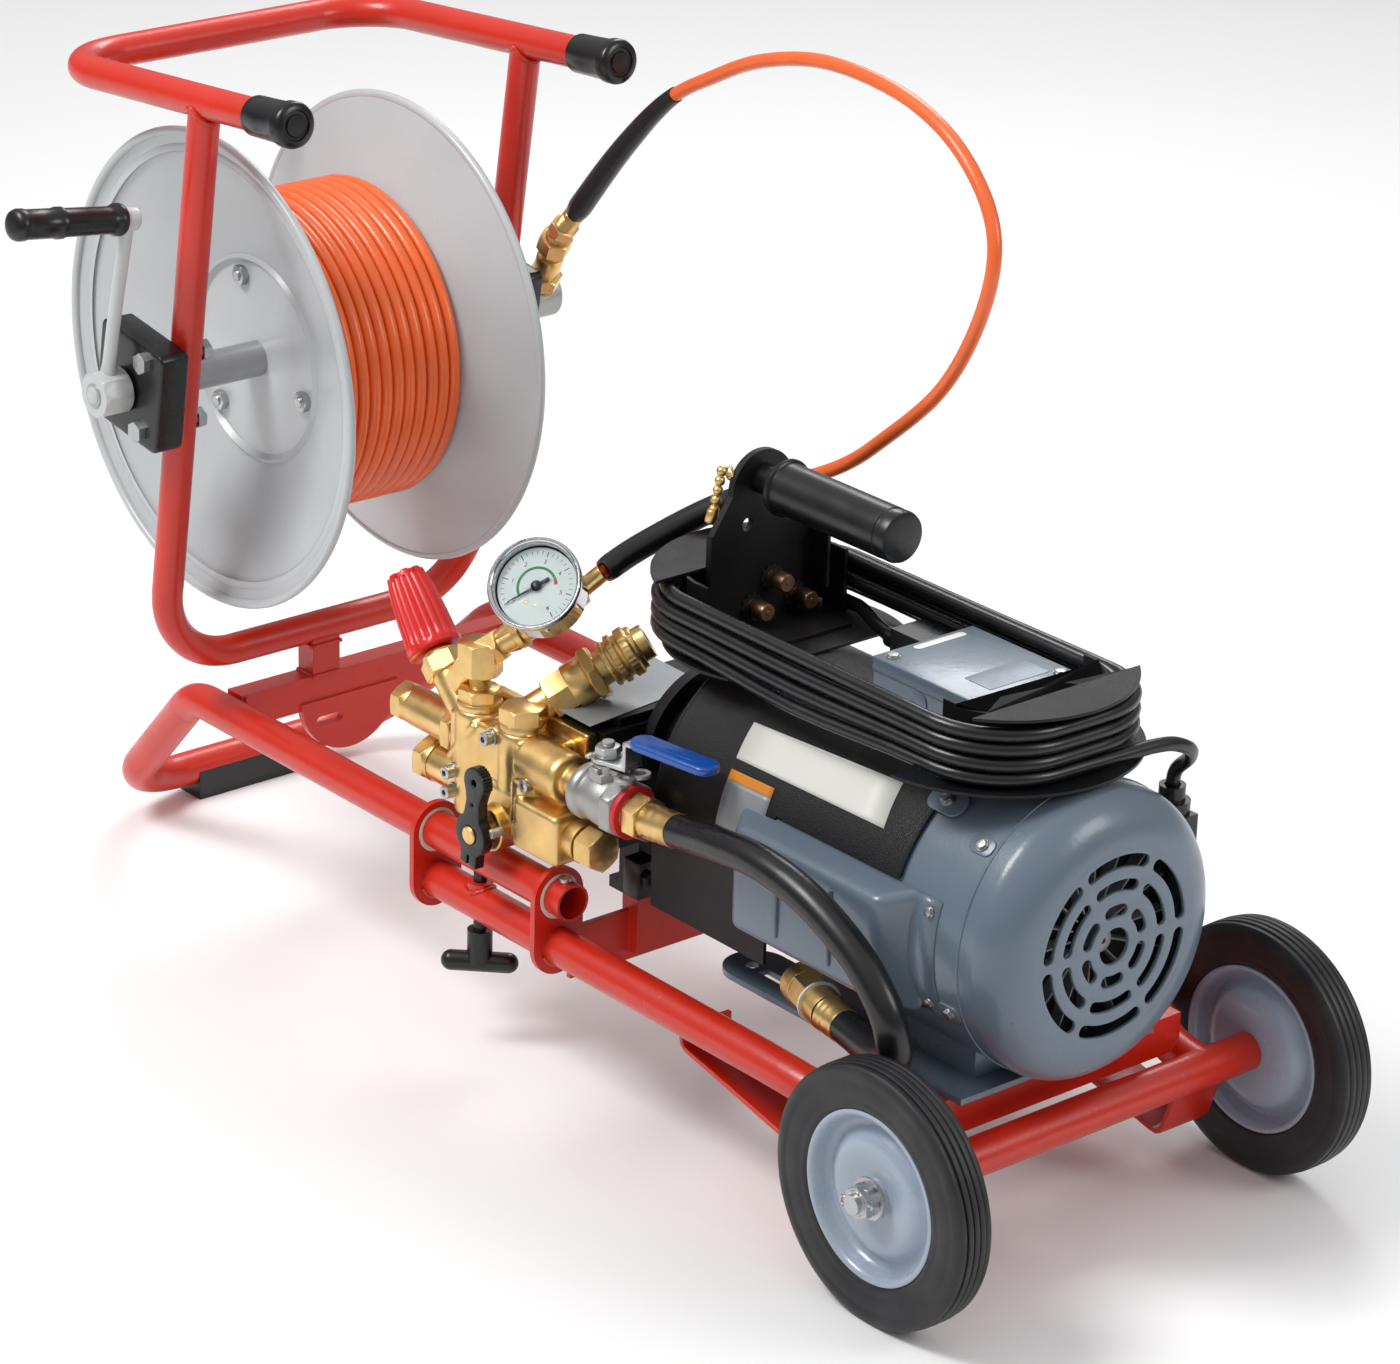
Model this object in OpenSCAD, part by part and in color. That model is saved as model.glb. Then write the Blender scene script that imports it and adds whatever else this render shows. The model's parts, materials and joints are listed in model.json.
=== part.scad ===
// Portable drain jetter: a two-part tube cart with a hose reel, a motor-driven
// plunger pump and a coiled leader hose.
// Origin: centre of the foot pad's underside. +X runs to the wheels, +Z is up.

/* [Cart tubes] */
// outside diameter of the side tubes
side_od = 25.4; // [18:0.2:32]
// wall of the side tubes
side_wall = 1.8; // [1.2:0.1:3]
// distance of each side tube from the centre plane
side_y = 134; // [110:1:150]
// height of the lower side tubes
low_z = 105.4; // [98:0.2:115]
// rise from the lower to the upper side tubes
tube_gap_z = 35.2; // [30:0.2:48]
// X of the open end of the upper side tubes
upper_end_x = 551.6; // [542:0.2:580]
// X of the knee where the upper side tubes turn down
knee_x = 124; // [100:1:150]
// half width of the foot bar, centre to bend corner
foot_y = 116; // [100:1:134]
// radius of the knee bends
knee_r = 45; // [35:1:60]
// radius of the foot bends
foot_r = 58; // [40:1:70]

/* [Clamps] */
// X of the front clamp plates
clamp_front_x = 405; // [390:1:420]
// X of the rear clamp plates and of the cross plate
clamp_rear_x = 535; // [520:1:540]
// thickness of the clamp plates
clamp_t = 4.5; // [3:0.5:8]
// width of the clamp plates
clamp_w = 40; // [34:1:44]
// outside diameter of the guide bushes
bush_od = 31; // [29:0.5:33]
// running clearance of the sliding tubes and turning parts, on the radius
run_gap = 0.06; // [0.02:0.01:0.1]
// X of the clamp screws
screw_x = 454; // [440:1:470]
// diameter of the clamp screws
screw_d = 9; // [6:0.5:10]
// length of a clamp screw's T bar
tee_len = 52; // [40:1:64]

/* [Wheels] */
// X of the wheel axle
axle_x = 886; // [860:1:900]
// outside radius of the tyres
tyre_r = 84; // [76:0.5:92]
// width of the tyres
tyre_w = 27; // [22:0.5:34]
// outside radius of the wheel discs
disc_r = 55.2; // [48:0.2:62]
// distance of each wheel's middle plane from the centre plane
wheel_y = 162.5; // [160:0.5:166]
// outside diameter of the axle tube
axle_tube_od = 22.2; // [18:0.2:26]
// diameter of the axle rod
axle_d = 12.7; // [10:0.1:15]

/* [Reel stand] */
// outside diameter of the stand and handle tubes
stand_od = 22.2; // [18:0.2:26]
// Y of the near upright
stand_near_y = -185.6; // [-192:0.2:-182]
// Y of the far upright
stand_far_y = 78.5; // [72:0.5:84]
// height of the stand's bottom tube
stand_z = 186.6; // [180:0.2:195]
// height of the handle at the uprights
handle_z = 604.7; // [590:0.1:620]
// rake of the uprights, X per mm of height
rake = 0.149; // [0.1:0.001:0.18]
// rise of the handle legs, Z per mm of X
handle_rise = 0.08; // [0:0.01:0.12]
// X of the handle's back bar
handle_back_x = 44; // [34:1:60]
// X of the near end of the handle caps
handle_end_x = 320; // [306:1:330]
// length of the handle caps
grip_cap_len = 50; // [36:1:60]

/* [Reel] */
// X of the reel axis
reel_x = 170; // [166:0.5:172]
// height of the reel axis
reel_z = 400; // [396:0.5:404]
// outside radius of the reel flanges
reel_r = 166; // [150:1:168]
// Y of the near flange's rim
flange_near_y = -151.7; // [-156:0.1:-148]
// Y of the far flange's rim
flange_far_y = 8.5; // [4:0.5:16]
// depth of the flange cones
cone_depth = 41; // [30:1:44]
// radius of the flat hub discs
hub_r = 70; // [60:1:76]
// thickness of the flange sheet
flange_t = 2; // [1.5:0.1:3]
// diameter of the wound hose
hose_d = 8.9; // [8:0.1:10]
// outside radius of the wound hose
pack_r = 112; // [100:1:118]
// diameter of the reel shaft
shaft_d = 16; // [12:0.5:20]
// outside diameter of the shaft sleeve
sleeve_d = 24.6; // [20:0.2:30]

/* [Power unit] */
// Y of the motor and pump axis
unit_y = -10; // [-14:0.5:-6]
// height of the motor axis
unit_z = 215; // [214:0.5:216]
// outside radius of the motor
motor_r = 95; // [90:0.5:95]
// X of the motor's vent face
vent_x = 917; // [912:1:924]
// X of the motor's front end
motor_x = 700; // [694:1:720]
// radius of the vent slots' outer ring
vent_r = 59; // [50:1:62]
// X of the saddle cover's front wall
cover_x = 598; // [592:1:604]
// X of the saddle cover's rear edge
saddle_x = 822; // [810:1:834]
// sheet thickness of the saddle cover
cover_t = 2.4; // [1.5:0.1:2.6]

/* [Pump] */
// length of the pump crankcase along X
crank_len = 65; // [55:1:72]
// height of the gauge centre
gauge_z = 338; // [330:1:344]
// diameter of the pressure gauge
gauge_d = 63; // [60:1:76]
// diameter of the inlet hose
inlet_d = 22; // [18:0.5:24]

/* [Cords] */
// diameter of the power cord
cord_d = 9.2; // [8:0.1:9.7]
// turns of the power cord on its wrap
cord_turns = 6; // [4:1:6]
// diameter of the leader hose
leader_d = 9.5; // [8:0.1:11]

/* [Hidden] */
up_z = low_z + tube_gap_z;
travel = 60;
clamp_z = (low_z + up_z) / 2;
clamp_h = tube_gap_z + clamp_w;
cross_y = side_y - side_od / 2;
axle_z = tyre_r;
tube_top = up_z + side_od / 2;
hub_near_y = flange_near_y + cone_depth;
hub_far_y = flange_far_y - cone_depth;
upright_od = stand_od - 0.6;
stand_x0 = 159.5;
function stand_x(z) = stand_x0 + rake * (z - stand_z);
saddle_r = motor_r + 0.5 + cover_t;
sd = 48;

// ---------- shared shapes ----------

module slab(a, b) {
    translate(a) cube(b - a);
}

// solid cylinder from point p to point q
module rod(p, q, d, fn = sd) {
    v = q - p;
    translate(p)
        rotate([0, acos(v.z / norm(v)), atan2(v.y, v.x)])
            cylinder(h = norm(v), d = d, $fn = fn);
}

// hexagon bar from p to q, measured across its flats
module hex_rod(p, q, flats) {
    rod(p, q, flats / cos(30), 6);
}

// cylinder along X, Y or Z between two coordinates
module x_rod(x0, x1, y, z, d) {
    translate([x0, y, z]) rotate([0, 90, 0]) cylinder(h = x1 - x0, d = d, $fn = sd);
}
module y_rod(x, y0, y1, z, d) {
    translate([x, y1, z]) rotate([90, 0, 0]) cylinder(h = y1 - y0, d = d, $fn = sd);
}
module z_rod(x, y, z0, z1, d) {
    translate([x, y, z0]) cylinder(h = z1 - z0, d = d, $fn = sd);
}

function unit(v) = v / norm(v);
function turn(a, b) = acos(max(-1, min(1, unit(a) * unit(b))));

// one bend of a round bar: c is the corner, a and b are its neighbours
module bend(a, c, b, r, d) {
    d1 = unit(c - a);
    d2 = unit(b - c);
    ang = turn(d1, d2);
    ez = unit(cross(d1, d2));
    ex = -cross(ez, d1);
    o = c - d1 * r * tan(ang / 2) - ex * r;
    ey = cross(ez, ex);
    multmatrix([[ex.x, ey.x, ez.x, o.x], [ex.y, ey.y, ez.y, o.y], [ex.z, ey.z, ez.z, o.z],
            [0, 0, 0, 1]])
        rotate_extrude(angle = ang, $fn = 96) translate([r, 0]) circle(d = d, $fn = sd);
}

// round bar along corner points p with one bend radius for each inner corner;
// straights lap into the bends, which draw down a little as bent tube does
lap = 1;
draw = 0.2;
module bent_bar(p, r, d) {
    n = len(p);
    cut = [for (i = [0 : n - 1])
        i == 0 || i == n - 1 ? 0
            : r[i - 1] * tan(turn(p[i] - p[i - 1], p[i + 1] - p[i]) / 2)];
    for (i = [0 : n - 2]) {
        u = unit(p[i + 1] - p[i]);
        rod(p[i] + u * max(0, cut[i] - lap), p[i + 1] - u * max(0, cut[i + 1] - lap), d);
    }
    for (i = [1 : n - 2]) bend(p[i - 1], p[i], p[i + 1], r[i - 1], d - draw);
}

// points of a smooth curve through hand-set route points, n to each span
function route(p, n) = concat([for (i = [0 : len(p) - 2]) for (k = [0 : n - 1])
    let (a = p[max(i - 1, 0)], b = p[i], c = p[i + 1], e = p[min(i + 2, len(p) - 1)], t = k / n)
        b + 0.5 * t * ((c - a) + t * ((2 * a - 5 * b + 4 * c - e) + t * (3 * b - a - 3 * c + e)))],
    [p[len(p) - 1]]);

function heading(p, i) = unit(p[min(i + 1, len(p) - 1)] - p[max(i - 1, 0)]);
function sides_of(p, s, i = 0, out = []) = i == len(p) ? out
    : let (t = heading(p, i), q = s - t * (s * t)) sides_of(p, unit(q), i + 1, concat(out, [unit(q)]));

// one tube swept along the points p
module sweep(p, d, n, side = [0, 0, 1]) {
    s = sides_of(p, side);
    m = len(p);
    pts = [for (i = [0 : m - 1]) let (b = cross(heading(p, i), s[i]))
        for (k = [0 : n - 1]) p[i] + d / 2 * (s[i] * cos(360 * k / n) + b * sin(360 * k / n))];
    wall = [for (i = [0 : m - 2]) for (k = [0 : n - 1]) let (j = (k + 1) % n)
        [i * n + k, (i + 1) * n + k, (i + 1) * n + j, i * n + j]];
    polyhedron(pts, concat([[for (k = [0 : n - 1]) k]], wall,
            [[for (k = [0 : n - 1]) m * n - 1 - k]]), convexity = 10);
}

// plate outline: rounded rectangle made of squares and circles
module round_rect(w, h, r) {
    square([w - 2 * r, h], center = true);
    square([w, h - 2 * r], center = true);
    for (x = [-1, 1], y = [-1, 1])
        translate([x * (w / 2 - r), y * (h / 2 - r)]) circle(r, $fn = sd);
}

// lay a drawing of Y (right) and Z (up) across X, from x0, thickness t
module across_x(x0, t) {
    translate([x0, 0, 0]) rotate([90, 0, 90]) linear_extrude(t) children();
}

red = [0.85, 0.2, 0.13];
black = [0.08, 0.08, 0.09];
steel_grey = [0.48, 0.56, 0.62];
brass = [0.78, 0.6, 0.3];
zinc = [0.75, 0.76, 0.78];
orange = [0.93, 0.42, 0.2];

// ---------- drive half: cart ----------

skid_x0 = 665;
skid_x1 = 866;
skid_slope = 0.2;
skid_z0 = 81;
skid_t = 3;
skid_top = low_z - side_od / 2 + 6.8;
base_x0 = 784;
base_x1 = 866;
base_top = unit_z - motor_r - 4;
base_low = 90;
cross_low = 78;
cross_top = 114;
stud_gap = 0.3;

module clamp_plate(x) {
    for (s = [-1, 1])
        across_x(x - clamp_t / 2, clamp_t) difference() {
            union() {
                translate([s * side_y, clamp_z]) square([clamp_w, tube_gap_z], center = true);
                for (z = [low_z, up_z]) translate([s * side_y, z]) circle(d = clamp_w, $fn = sd);
            }
            translate([s * side_y, up_z]) circle(d = bush_od, $fn = sd);
        }
}

module skid(s) {
    x_end = skid_x1 - skid_x0;
    drop = skid_slope * x_end;
    translate([skid_x0, s * (side_y - side_od / 2 + skid_t / 2), 0]) rotate([90, 0, 0])
        translate([0, 0, -skid_t / 2]) linear_extrude(skid_t)
            polygon([[0, skid_top], [0, skid_z0], [x_end, skid_z0 - drop],
                [x_end, axle_z], [x_end - 30, skid_top]]);
    translate([skid_x0, s > 0 ? cross_y + 0.5 : -cross_y - 26.5, skid_z0]) rotate([0, atan(skid_slope), 0])
        cube([x_end / cos(atan(skid_slope)), 26, skid_t]);
}

module drive_frame() color(red) difference() {
    union() {
        for (s = [-1, 1]) {
            x_rod(clamp_front_x - clamp_t / 2, axle_x - 6, s * side_y, low_z, side_od);
            z_rod(screw_x, s * side_y, low_z, low_z + side_od / 2 + 2.5, 2 * screw_d);
            skid(s);
        }
        clamp_plate(clamp_front_x);
        clamp_plate(clamp_rear_x);
        slab([clamp_rear_x - 2, -cross_y - 2, cross_low], [clamp_rear_x + 2, cross_y + 2, cross_top]);
        slab([base_x0, -cross_y - 2, base_top - 4], [base_x1, cross_y + 2, base_top]);
        for (x = [base_x0, base_x1 - 4])
            slab([x, -cross_y - 2, base_low], [x + 4, cross_y + 2, base_top]);
        for (y = [-75, 40]) slab([clamp_rear_x - 5, y, cross_low + 6], [clamp_rear_x + 11, y + 16, 150]);
        y_rod(axle_x, -148, 148, axle_z, axle_tube_od);
    }
    for (s = [-1, 1]) {
        x_rod(clamp_front_x - clamp_t, axle_x - 5, s * side_y, low_z, side_od - 2 * side_wall);
        z_rod(screw_x, s * side_y, 80, 130, screw_d + 2 * run_gap);
    }
    y_rod(axle_x, -150, 150, axle_z, axle_d);
}

module guide_bushes() color([0.9, 0.9, 0.88]) {
    for (x = [clamp_front_x, clamp_rear_x], s = [-1, 1]) difference() {
        x_rod(x - clamp_t / 2, x + clamp_t / 2, s * side_y, up_z, bush_od);
        x_rod(x - clamp_t, x + clamp_t, s * side_y, up_z, side_od + 2 * run_gap);
    }
}

hub_in = 148.4;
hub_out = wheel_y + 9.5;

module axle_rod() color(zinc) {
    y_rod(axle_x, -hub_out - 16, hub_out + 16, axle_z, axle_d);
    for (s = [-1, 1]) {
        rod([axle_x, s * (hub_out + 0.4), axle_z], [axle_x, s * (hub_out + 2.4), axle_z], 27);
        hex_rod([axle_x, s * (hub_out + 2.4), axle_z], [axle_x, s * (hub_out + 12), axle_z], 19);
        rod([axle_x - 12, s * (hub_out + 9), axle_z - 5], [axle_x + 12, s * (hub_out + 9), axle_z + 5],
            2.4);
    }
}

// pressed disc: hub tube, dished web, rim channel
module wheel(s) {
    color([0.78, 0.83, 0.87])
        translate([axle_x, s * wheel_y, axle_z]) rotate([-90 * s, 0, 0])
            rotate_extrude($fn = 96) polygon([
                [axle_d / 2 + run_gap, hub_in - wheel_y], [13, hub_in - wheel_y], [13, -1],
                [22, 3], [33, 4], [41, 0], [45, -3.5], [48, -11], [disc_r, -11], [disc_r, 11],
                [52, 11], [49.5, 5], [47, 0.5], [43, 3], [34, 8], [21, 7], [13, 5.5],
                [13, hub_out - wheel_y], [axle_d / 2 + run_gap, hub_out - wheel_y]]);
}
module wheel_near() { wheel(-1); }
module wheel_far() { wheel(1); }

module tyre(s) {
    h = tyre_w / 2;
    ribs = 5;
    band = 18;
    color([0.13, 0.13, 0.14])
        translate([axle_x, s * wheel_y, axle_z]) rotate([-90 * s, 0, 0])
            rotate_extrude($fn = 96) difference() {
                polygon([[disc_r, -11], [disc_r + 4, -h + 0.6], [disc_r + 9, -h], [tyre_r - 7, -h],
                    [tyre_r - 2.4, -h + 2], [tyre_r - 1, -h + 4.5], [tyre_r, -4], [tyre_r, 4],
                    [tyre_r - 1, h - 4.5], [tyre_r - 2.4, h - 2], [tyre_r - 7, h], [disc_r + 9, h],
                    [disc_r + 4, h - 0.6], [disc_r, 11]]);
                for (i = [1 : ribs - 1])
                    translate([tyre_r - 1.8, -band / 2 + band * i / ribs - 0.6]) square([4, 1.2]);
            }
}
module tyre_near() { tyre(-1); }
module tyre_far() { tyre(1); }

module clamp_screw(s) {
    tee_z = 61.5;
    color(zinc) z_rod(screw_x, s * side_y, tee_z, up_z - side_od / 2 - stud_gap, screw_d);
    color(black) translate([screw_x, s * side_y, tee_z]) {
        cylinder(h = 24, d = 17, $fn = sd);
        rotate([0, 90, 45]) cylinder(h = tee_len - 14, d = 14, center = true, $fn = sd);
        for (a = [45, 225]) rotate([0, 0, a]) translate([tee_len / 2 - 7, 0, 0])
            sphere(d = 14, $fn = sd);
    }
}
module clamp_screw_near() { clamp_screw(-1); }
module clamp_screw_far() { clamp_screw(1); }

// ---------- reel half: cart ----------

foot_z = 21.5;
bar_x0 = 150;
bar_x1 = 167;
bar_z0 = up_z - 13;
bar_z1 = up_z + 12;
post_y = -52.5;
gusset_y = -32;
gusset_r = 42;

module reel_carriage() color(red) {
    difference() {
        union() {
            bent_bar([[upper_end_x, -side_y, up_z], [knee_x, -side_y, up_z], [0, -foot_y, foot_z],
                [0, foot_y, foot_z], [knee_x, side_y, up_z], [upper_end_x, side_y, up_z]],
                [knee_r, foot_r, foot_r, knee_r], side_od);
            slab([bar_x0, -cross_y - 3, bar_z0], [bar_x1, cross_y + 3, bar_z1]);
            slab([stand_x0 - 9, post_y - 11.5, bar_z1 - 1], [stand_x0 + 9, post_y + 11.5, stand_z - 5]);
            across_x(bar_x1 - 4, 6) difference() {
                translate([gusset_y, bar_z0 + 6]) circle(gusset_r, $fn = 96);
                translate([gusset_y - 80, bar_z0 + 6]) square([160, 60]);
                translate([gusset_y - 18, bar_z0 - 10]) square([16, 7], center = true);
                for (y = [-26, -10]) translate([gusset_y + y, bar_z0 - 10]) circle(d = 7, $fn = sd);
            }
        }
        for (s = [-1, 1])
            x_rod(bar_x1 + 8, upper_end_x + 2, s * side_y, up_z, side_od - 2 * side_wall);
        y_rod(stand_x0, post_y - 20, post_y + 20, stand_z, upright_od);
    }
}

module foot_pad() color([0.12, 0.12, 0.13]) difference() {
    union() {
        slab([-13, -56, 0], [13, 56, 22]);
    }
    y_rod(0, -60, 60, foot_z, side_od);
}

stand_top_x = stand_x(handle_z);
function leg_z(x) = handle_z + handle_rise * (x - stand_top_x);

module reel_stand() color(red) {
    difference() {
        union() {
            bent_bar([[stand_top_x, stand_near_y, handle_z], [stand_x0, stand_near_y, stand_z],
                [stand_x0, stand_far_y, stand_z], [stand_top_x, stand_far_y, handle_z]],
                [60, 60], upright_od);
            bent_bar([[handle_end_x, stand_near_y, leg_z(handle_end_x)],
                [handle_back_x, stand_near_y, leg_z(handle_back_x)],
                [handle_back_x, stand_far_y, leg_z(handle_back_x)],
                [handle_end_x, stand_far_y, leg_z(handle_end_x)]], [50, 50], stand_od);
        }
        for (y = [stand_near_y, stand_far_y], h = [-25, 25])
            y_rod(stand_x(reel_z + h), y - 20, y + 20, reel_z + h, 8);
    }
}

module handle_caps() color([0.1, 0.1, 0.11]) {
    u = unit([1, 0, handle_rise]);
    for (y = [stand_near_y, stand_far_y]) {
        e = [handle_end_x, y, leg_z(handle_end_x)];
        difference() {
            union() {
                rod(e - u * (grip_cap_len - 4), e + u * 4, stand_od + 6);
                rod(e - u * 6, e + u * 2, stand_od + 8);
            }
            rod(e - u * grip_cap_len, e, stand_od);
            rod(e + u * 2.6, e + u * 6, 16);
        }
    }
}

block_w = 72;
block_t = 22;
far_block_t = 12;
block_x = 175;
block_z = 403;

module bearing_block(y0, y1) {
    difference() {
        translate([block_x, y0, block_z]) rotate([0, 8.5, 0]) rotate([-90, 0, 0])
            linear_extrude(y1 - y0) round_rect(block_w, block_w, 5);
        y_rod(reel_x, y0 - 1, y1 + 1, reel_z, shaft_d + 2 * run_gap);
        for (h = [-25, 25]) y_rod(stand_x(reel_z + h), y0 - 1, y1 + 1, reel_z + h, 8);
    }
}

near_out = stand_near_y - upright_od / 2;
far_out = stand_far_y + upright_od / 2;

module reel_bearings() color(black) {
    bearing_block(near_out - block_t, near_out);
    bearing_block(far_out, far_out + far_block_t);
}

module stand_bolts() color(zinc) {
    for (h = [-25, 25]) {
        x = stand_x(reel_z + h);
        z = reel_z + h;
        y_rod(x, near_out - block_t, stand_near_y + upright_od / 2 + 8, z, 8);
        hex_rod([x, near_out - block_t - 5, z], [x, near_out - block_t, z], 13);
        hex_rod([x, stand_near_y + upright_od / 2, z], [x, stand_near_y + upright_od / 2 + 6, z], 13);
        y_rod(x, stand_far_y - upright_od / 2 - 8, far_out + far_block_t, z, 8);
        hex_rod([x, far_out + far_block_t, z], [x, far_out + far_block_t + 5, z], 13);
        hex_rod([x, stand_far_y - upright_od / 2 - 6, z], [x, stand_far_y - upright_od / 2, z], 13);
    }
    for (s = [-1, 1]) z_rod(clamp_rear_x + clamp_t / 2 + 6, s * side_y, tube_top, tube_top + 2.6, 8);
}

// ---------- reel ----------

crank_y = near_out - block_t - 13;
cone_run = reel_r - hub_r;
hub_bolt_at = [105 : 120 : 345];
function cone_y(r) = cone_depth * (reel_r - r) / cone_run;
core_r = pack_r - hose_d - 1.4;

module reel_shaft() color([0.62, 0.63, 0.64]) {
    y_rod(reel_x, crank_y - 12, far_out + far_block_t + 24, reel_z, shaft_d);
    y_rod(reel_x, stand_near_y + upright_od / 2 + 9, hub_near_y, reel_z, sleeve_d);
    y_rod(reel_x, hub_far_y, stand_far_y - upright_od / 2 - 9, reel_z, sleeve_d);
}

// s = 1 opens towards -Y (near flange), -1 is its mirror image
module flange(y0, s) {
    color([0.8, 0.81, 0.81])
        translate([reel_x, y0, reel_z]) rotate([-90 * s, 0, 0]) difference() {
            rotate_extrude($fn = 96) {
                polygon([[sleeve_d / 2, cone_depth], [hub_r - 3, cone_depth], [hub_r, cone_depth - 4],
                    [hub_r + 3, cone_y(hub_r + 3)], [reel_r - 3, cone_y(reel_r - 3)],
                    [reel_r - 3, cone_y(reel_r - 3) + flange_t],
                    [hub_r + 3.6, cone_y(hub_r + 3) + flange_t], [hub_r + 0.6, cone_depth - 4 + flange_t],
                    [hub_r - 3, cone_depth + flange_t], [sleeve_d / 2, cone_depth + flange_t]]);
                translate([reel_r - 3, 1.5]) circle(d = 6, $fn = 24);
            }
            for (a = hub_bolt_at) rotate([0, 0, -a * s]) translate([hub_r - 12, 0, cone_depth - 1])
                cylinder(h = 6, d = 8, $fn = sd);
        }
}
module flange_near() { flange(flange_near_y, 1); }
module flange_far() { flange(flange_far_y, -1); }

// drum: hub discs, barrel and core shell in one turned piece
module reel_hub() color([0.55, 0.56, 0.57]) {
    y0 = hub_near_y + flange_t;
    y1 = hub_far_y - flange_t;
    e0 = flange_near_y + cone_y(core_r) + flange_t + 0.7;
    e1 = flange_far_y - cone_y(core_r) - flange_t - 0.7;
    n0 = flange_near_y + cone_y(hub_r + 3) + flange_t + 0.4;
    n1 = flange_far_y - cone_y(hub_r + 3) - flange_t - 0.4;
    translate([reel_x, 0, reel_z]) rotate([-90, 0, 0]) difference() {
        rotate_extrude($fn = 96) polygon([[shaft_d / 2, y0], [hub_r - 2.5, y0],
            [hub_r + 4, n0], [core_r, e0], [core_r, e1], [hub_r + 4, n1],
            [hub_r - 2.5, y1], [shaft_d / 2, y1], [shaft_d / 2, y1 - 4],
            [hub_r - 7, y1 - 4], [core_r - 3, e1 - 4], [core_r - 3, e0 + 4], [hub_r - 7, y0 + 4],
            [shaft_d / 2, y0 + 4]]);
        for (a = hub_bolt_at) rotate([0, 0, -a]) translate([hub_r - 12, 0, y0 - 1])
            cylinder(h = y1 - y0 + 2, d = 8, $fn = sd);
    }
}

module flange_bolts() color(zinc) for (a = hub_bolt_at) {
    x = reel_x + (hub_r - 12) * cos(a);
    z = reel_z + (hub_r - 12) * sin(a);
    y_rod(x, hub_near_y - 5, hub_far_y + 5, z, 8);
    hex_rod([x, hub_near_y - 5, z], [x, hub_near_y, z], 13);
    hex_rod([x, hub_far_y, z], [x, hub_far_y + 5, z], 13);
}

hose_r = pack_r - hose_d / 2;
hose_y0 = flange_near_y + cone_y(hose_r) + flange_t + hose_d / 2 + 1.4;
hose_y1 = flange_far_y - cone_y(hose_r) - flange_t - hose_d / 2 - 1.4;
hose_pitch = hose_d + 0.5;
hose_rings = floor((hose_y1 - hose_y0) / hose_pitch * 24);
hose_path = [for (i = [0 : hose_rings]) let (a = 15 * i)
    [reel_x + hose_r * cos(a), hose_y0 + hose_pitch * i / 24, reel_z + hose_r * sin(a)]];
hose_turns_gap = min([for (i = [24 : hose_rings]) norm(hose_path[i] - hose_path[i - 24])]) - hose_d;
echo(wound_hose_gap = hose_turns_gap);

module wound_hose() color(orange) {
    n = hose_rings;
    a0 = hose_path[0] - unit(hose_path[1] - hose_path[0]) * hose_d;
    a1 = hose_path[n] + unit(hose_path[n] - hose_path[n - 1]) * hose_d;
    sweep(concat([a0], hose_path, [a1]), hose_d, 6, [1, 0, 0]);
}

crank_end = [194, crank_y + 3, 526];
grip_dir = unit([10, -100, 16]);
grip_base = crank_end + grip_dir * 7;

module crank_arm() color([0.72, 0.73, 0.72]) {
    difference() {
        union() {
            rod([reel_x, crank_y - 11, reel_z], [reel_x, crank_y + 11, reel_z], 32, 8);
            rod([reel_x, crank_y, reel_z], [reel_x + 3, crank_y, reel_z + 24], 15);
            rod([reel_x + 2, crank_y, reel_z + 18], crank_end, 10);
            rod(crank_end - grip_dir * 6, crank_end + grip_dir * 6, 16);
            rod(crank_end, crank_end + grip_dir * 96, 8);
            rod(crank_end + grip_dir * 95, crank_end + grip_dir * 98, 12);
        }
        y_rod(reel_x, crank_y - 30, crank_y + 30, reel_z, shaft_d);
    }
}

module crank_grip() color(black) difference() {
    union() {
        rod(grip_base, grip_base + grip_dir * 86, 18);
        rod(grip_base, grip_base + grip_dir * 8, 22);
        rod(grip_base + grip_dir * 38, grip_base + grip_dir * 44, 21);
        rod(grip_base + grip_dir * 78, grip_base + grip_dir * 86, 22);
    }
    rod(grip_base - grip_dir * 2, grip_base + grip_dir * 120, 8 + 2 * run_gap);
}

swivel_y0 = far_out + far_block_t + 5.6;
swivel_y1 = swivel_y0 + 34;

module swivel_body() color([0.82, 0.8, 0.76]) difference() {
    union() {
        y_rod(reel_x, swivel_y0, swivel_y1, reel_z, 34);
        rod([reel_x, swivel_y0 + 13, reel_z], [reel_x + 20, swivel_y0 + 13, reel_z + 16], 22);
    }
    y_rod(reel_x, swivel_y0 - 1, swivel_y0 + 20, reel_z, shaft_d + 2 * run_gap);
}

lead_in = [238, 110, 480];
sw0 = [reel_x + 20, swivel_y0 + 13, reel_z + 16];
sw1 = lead_in + [-22, 2, -22];

module swivel_fitting() color(brass) {
    v = unit(sw1 - sw0);
    rod(sw0, sw1, 12);
    hex_rod(sw0, sw0 + v * 10, 22);
    rod(sw0 + v * 14, sw0 + v * 30, 19);
    hex_rod(sw1 - v * 12, sw1, 20);
    rod(sw1, lead_in, 12);
    rod(lead_in - unit(lead_in - sw1) * 14, lead_in - unit(lead_in - sw1) * 4, 17);
    sphere_at(sw1, 16);
}
module sphere_at(p, d) { translate(p) sphere(d = d, $fn = sd); }

// ---------- power unit ----------

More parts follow.
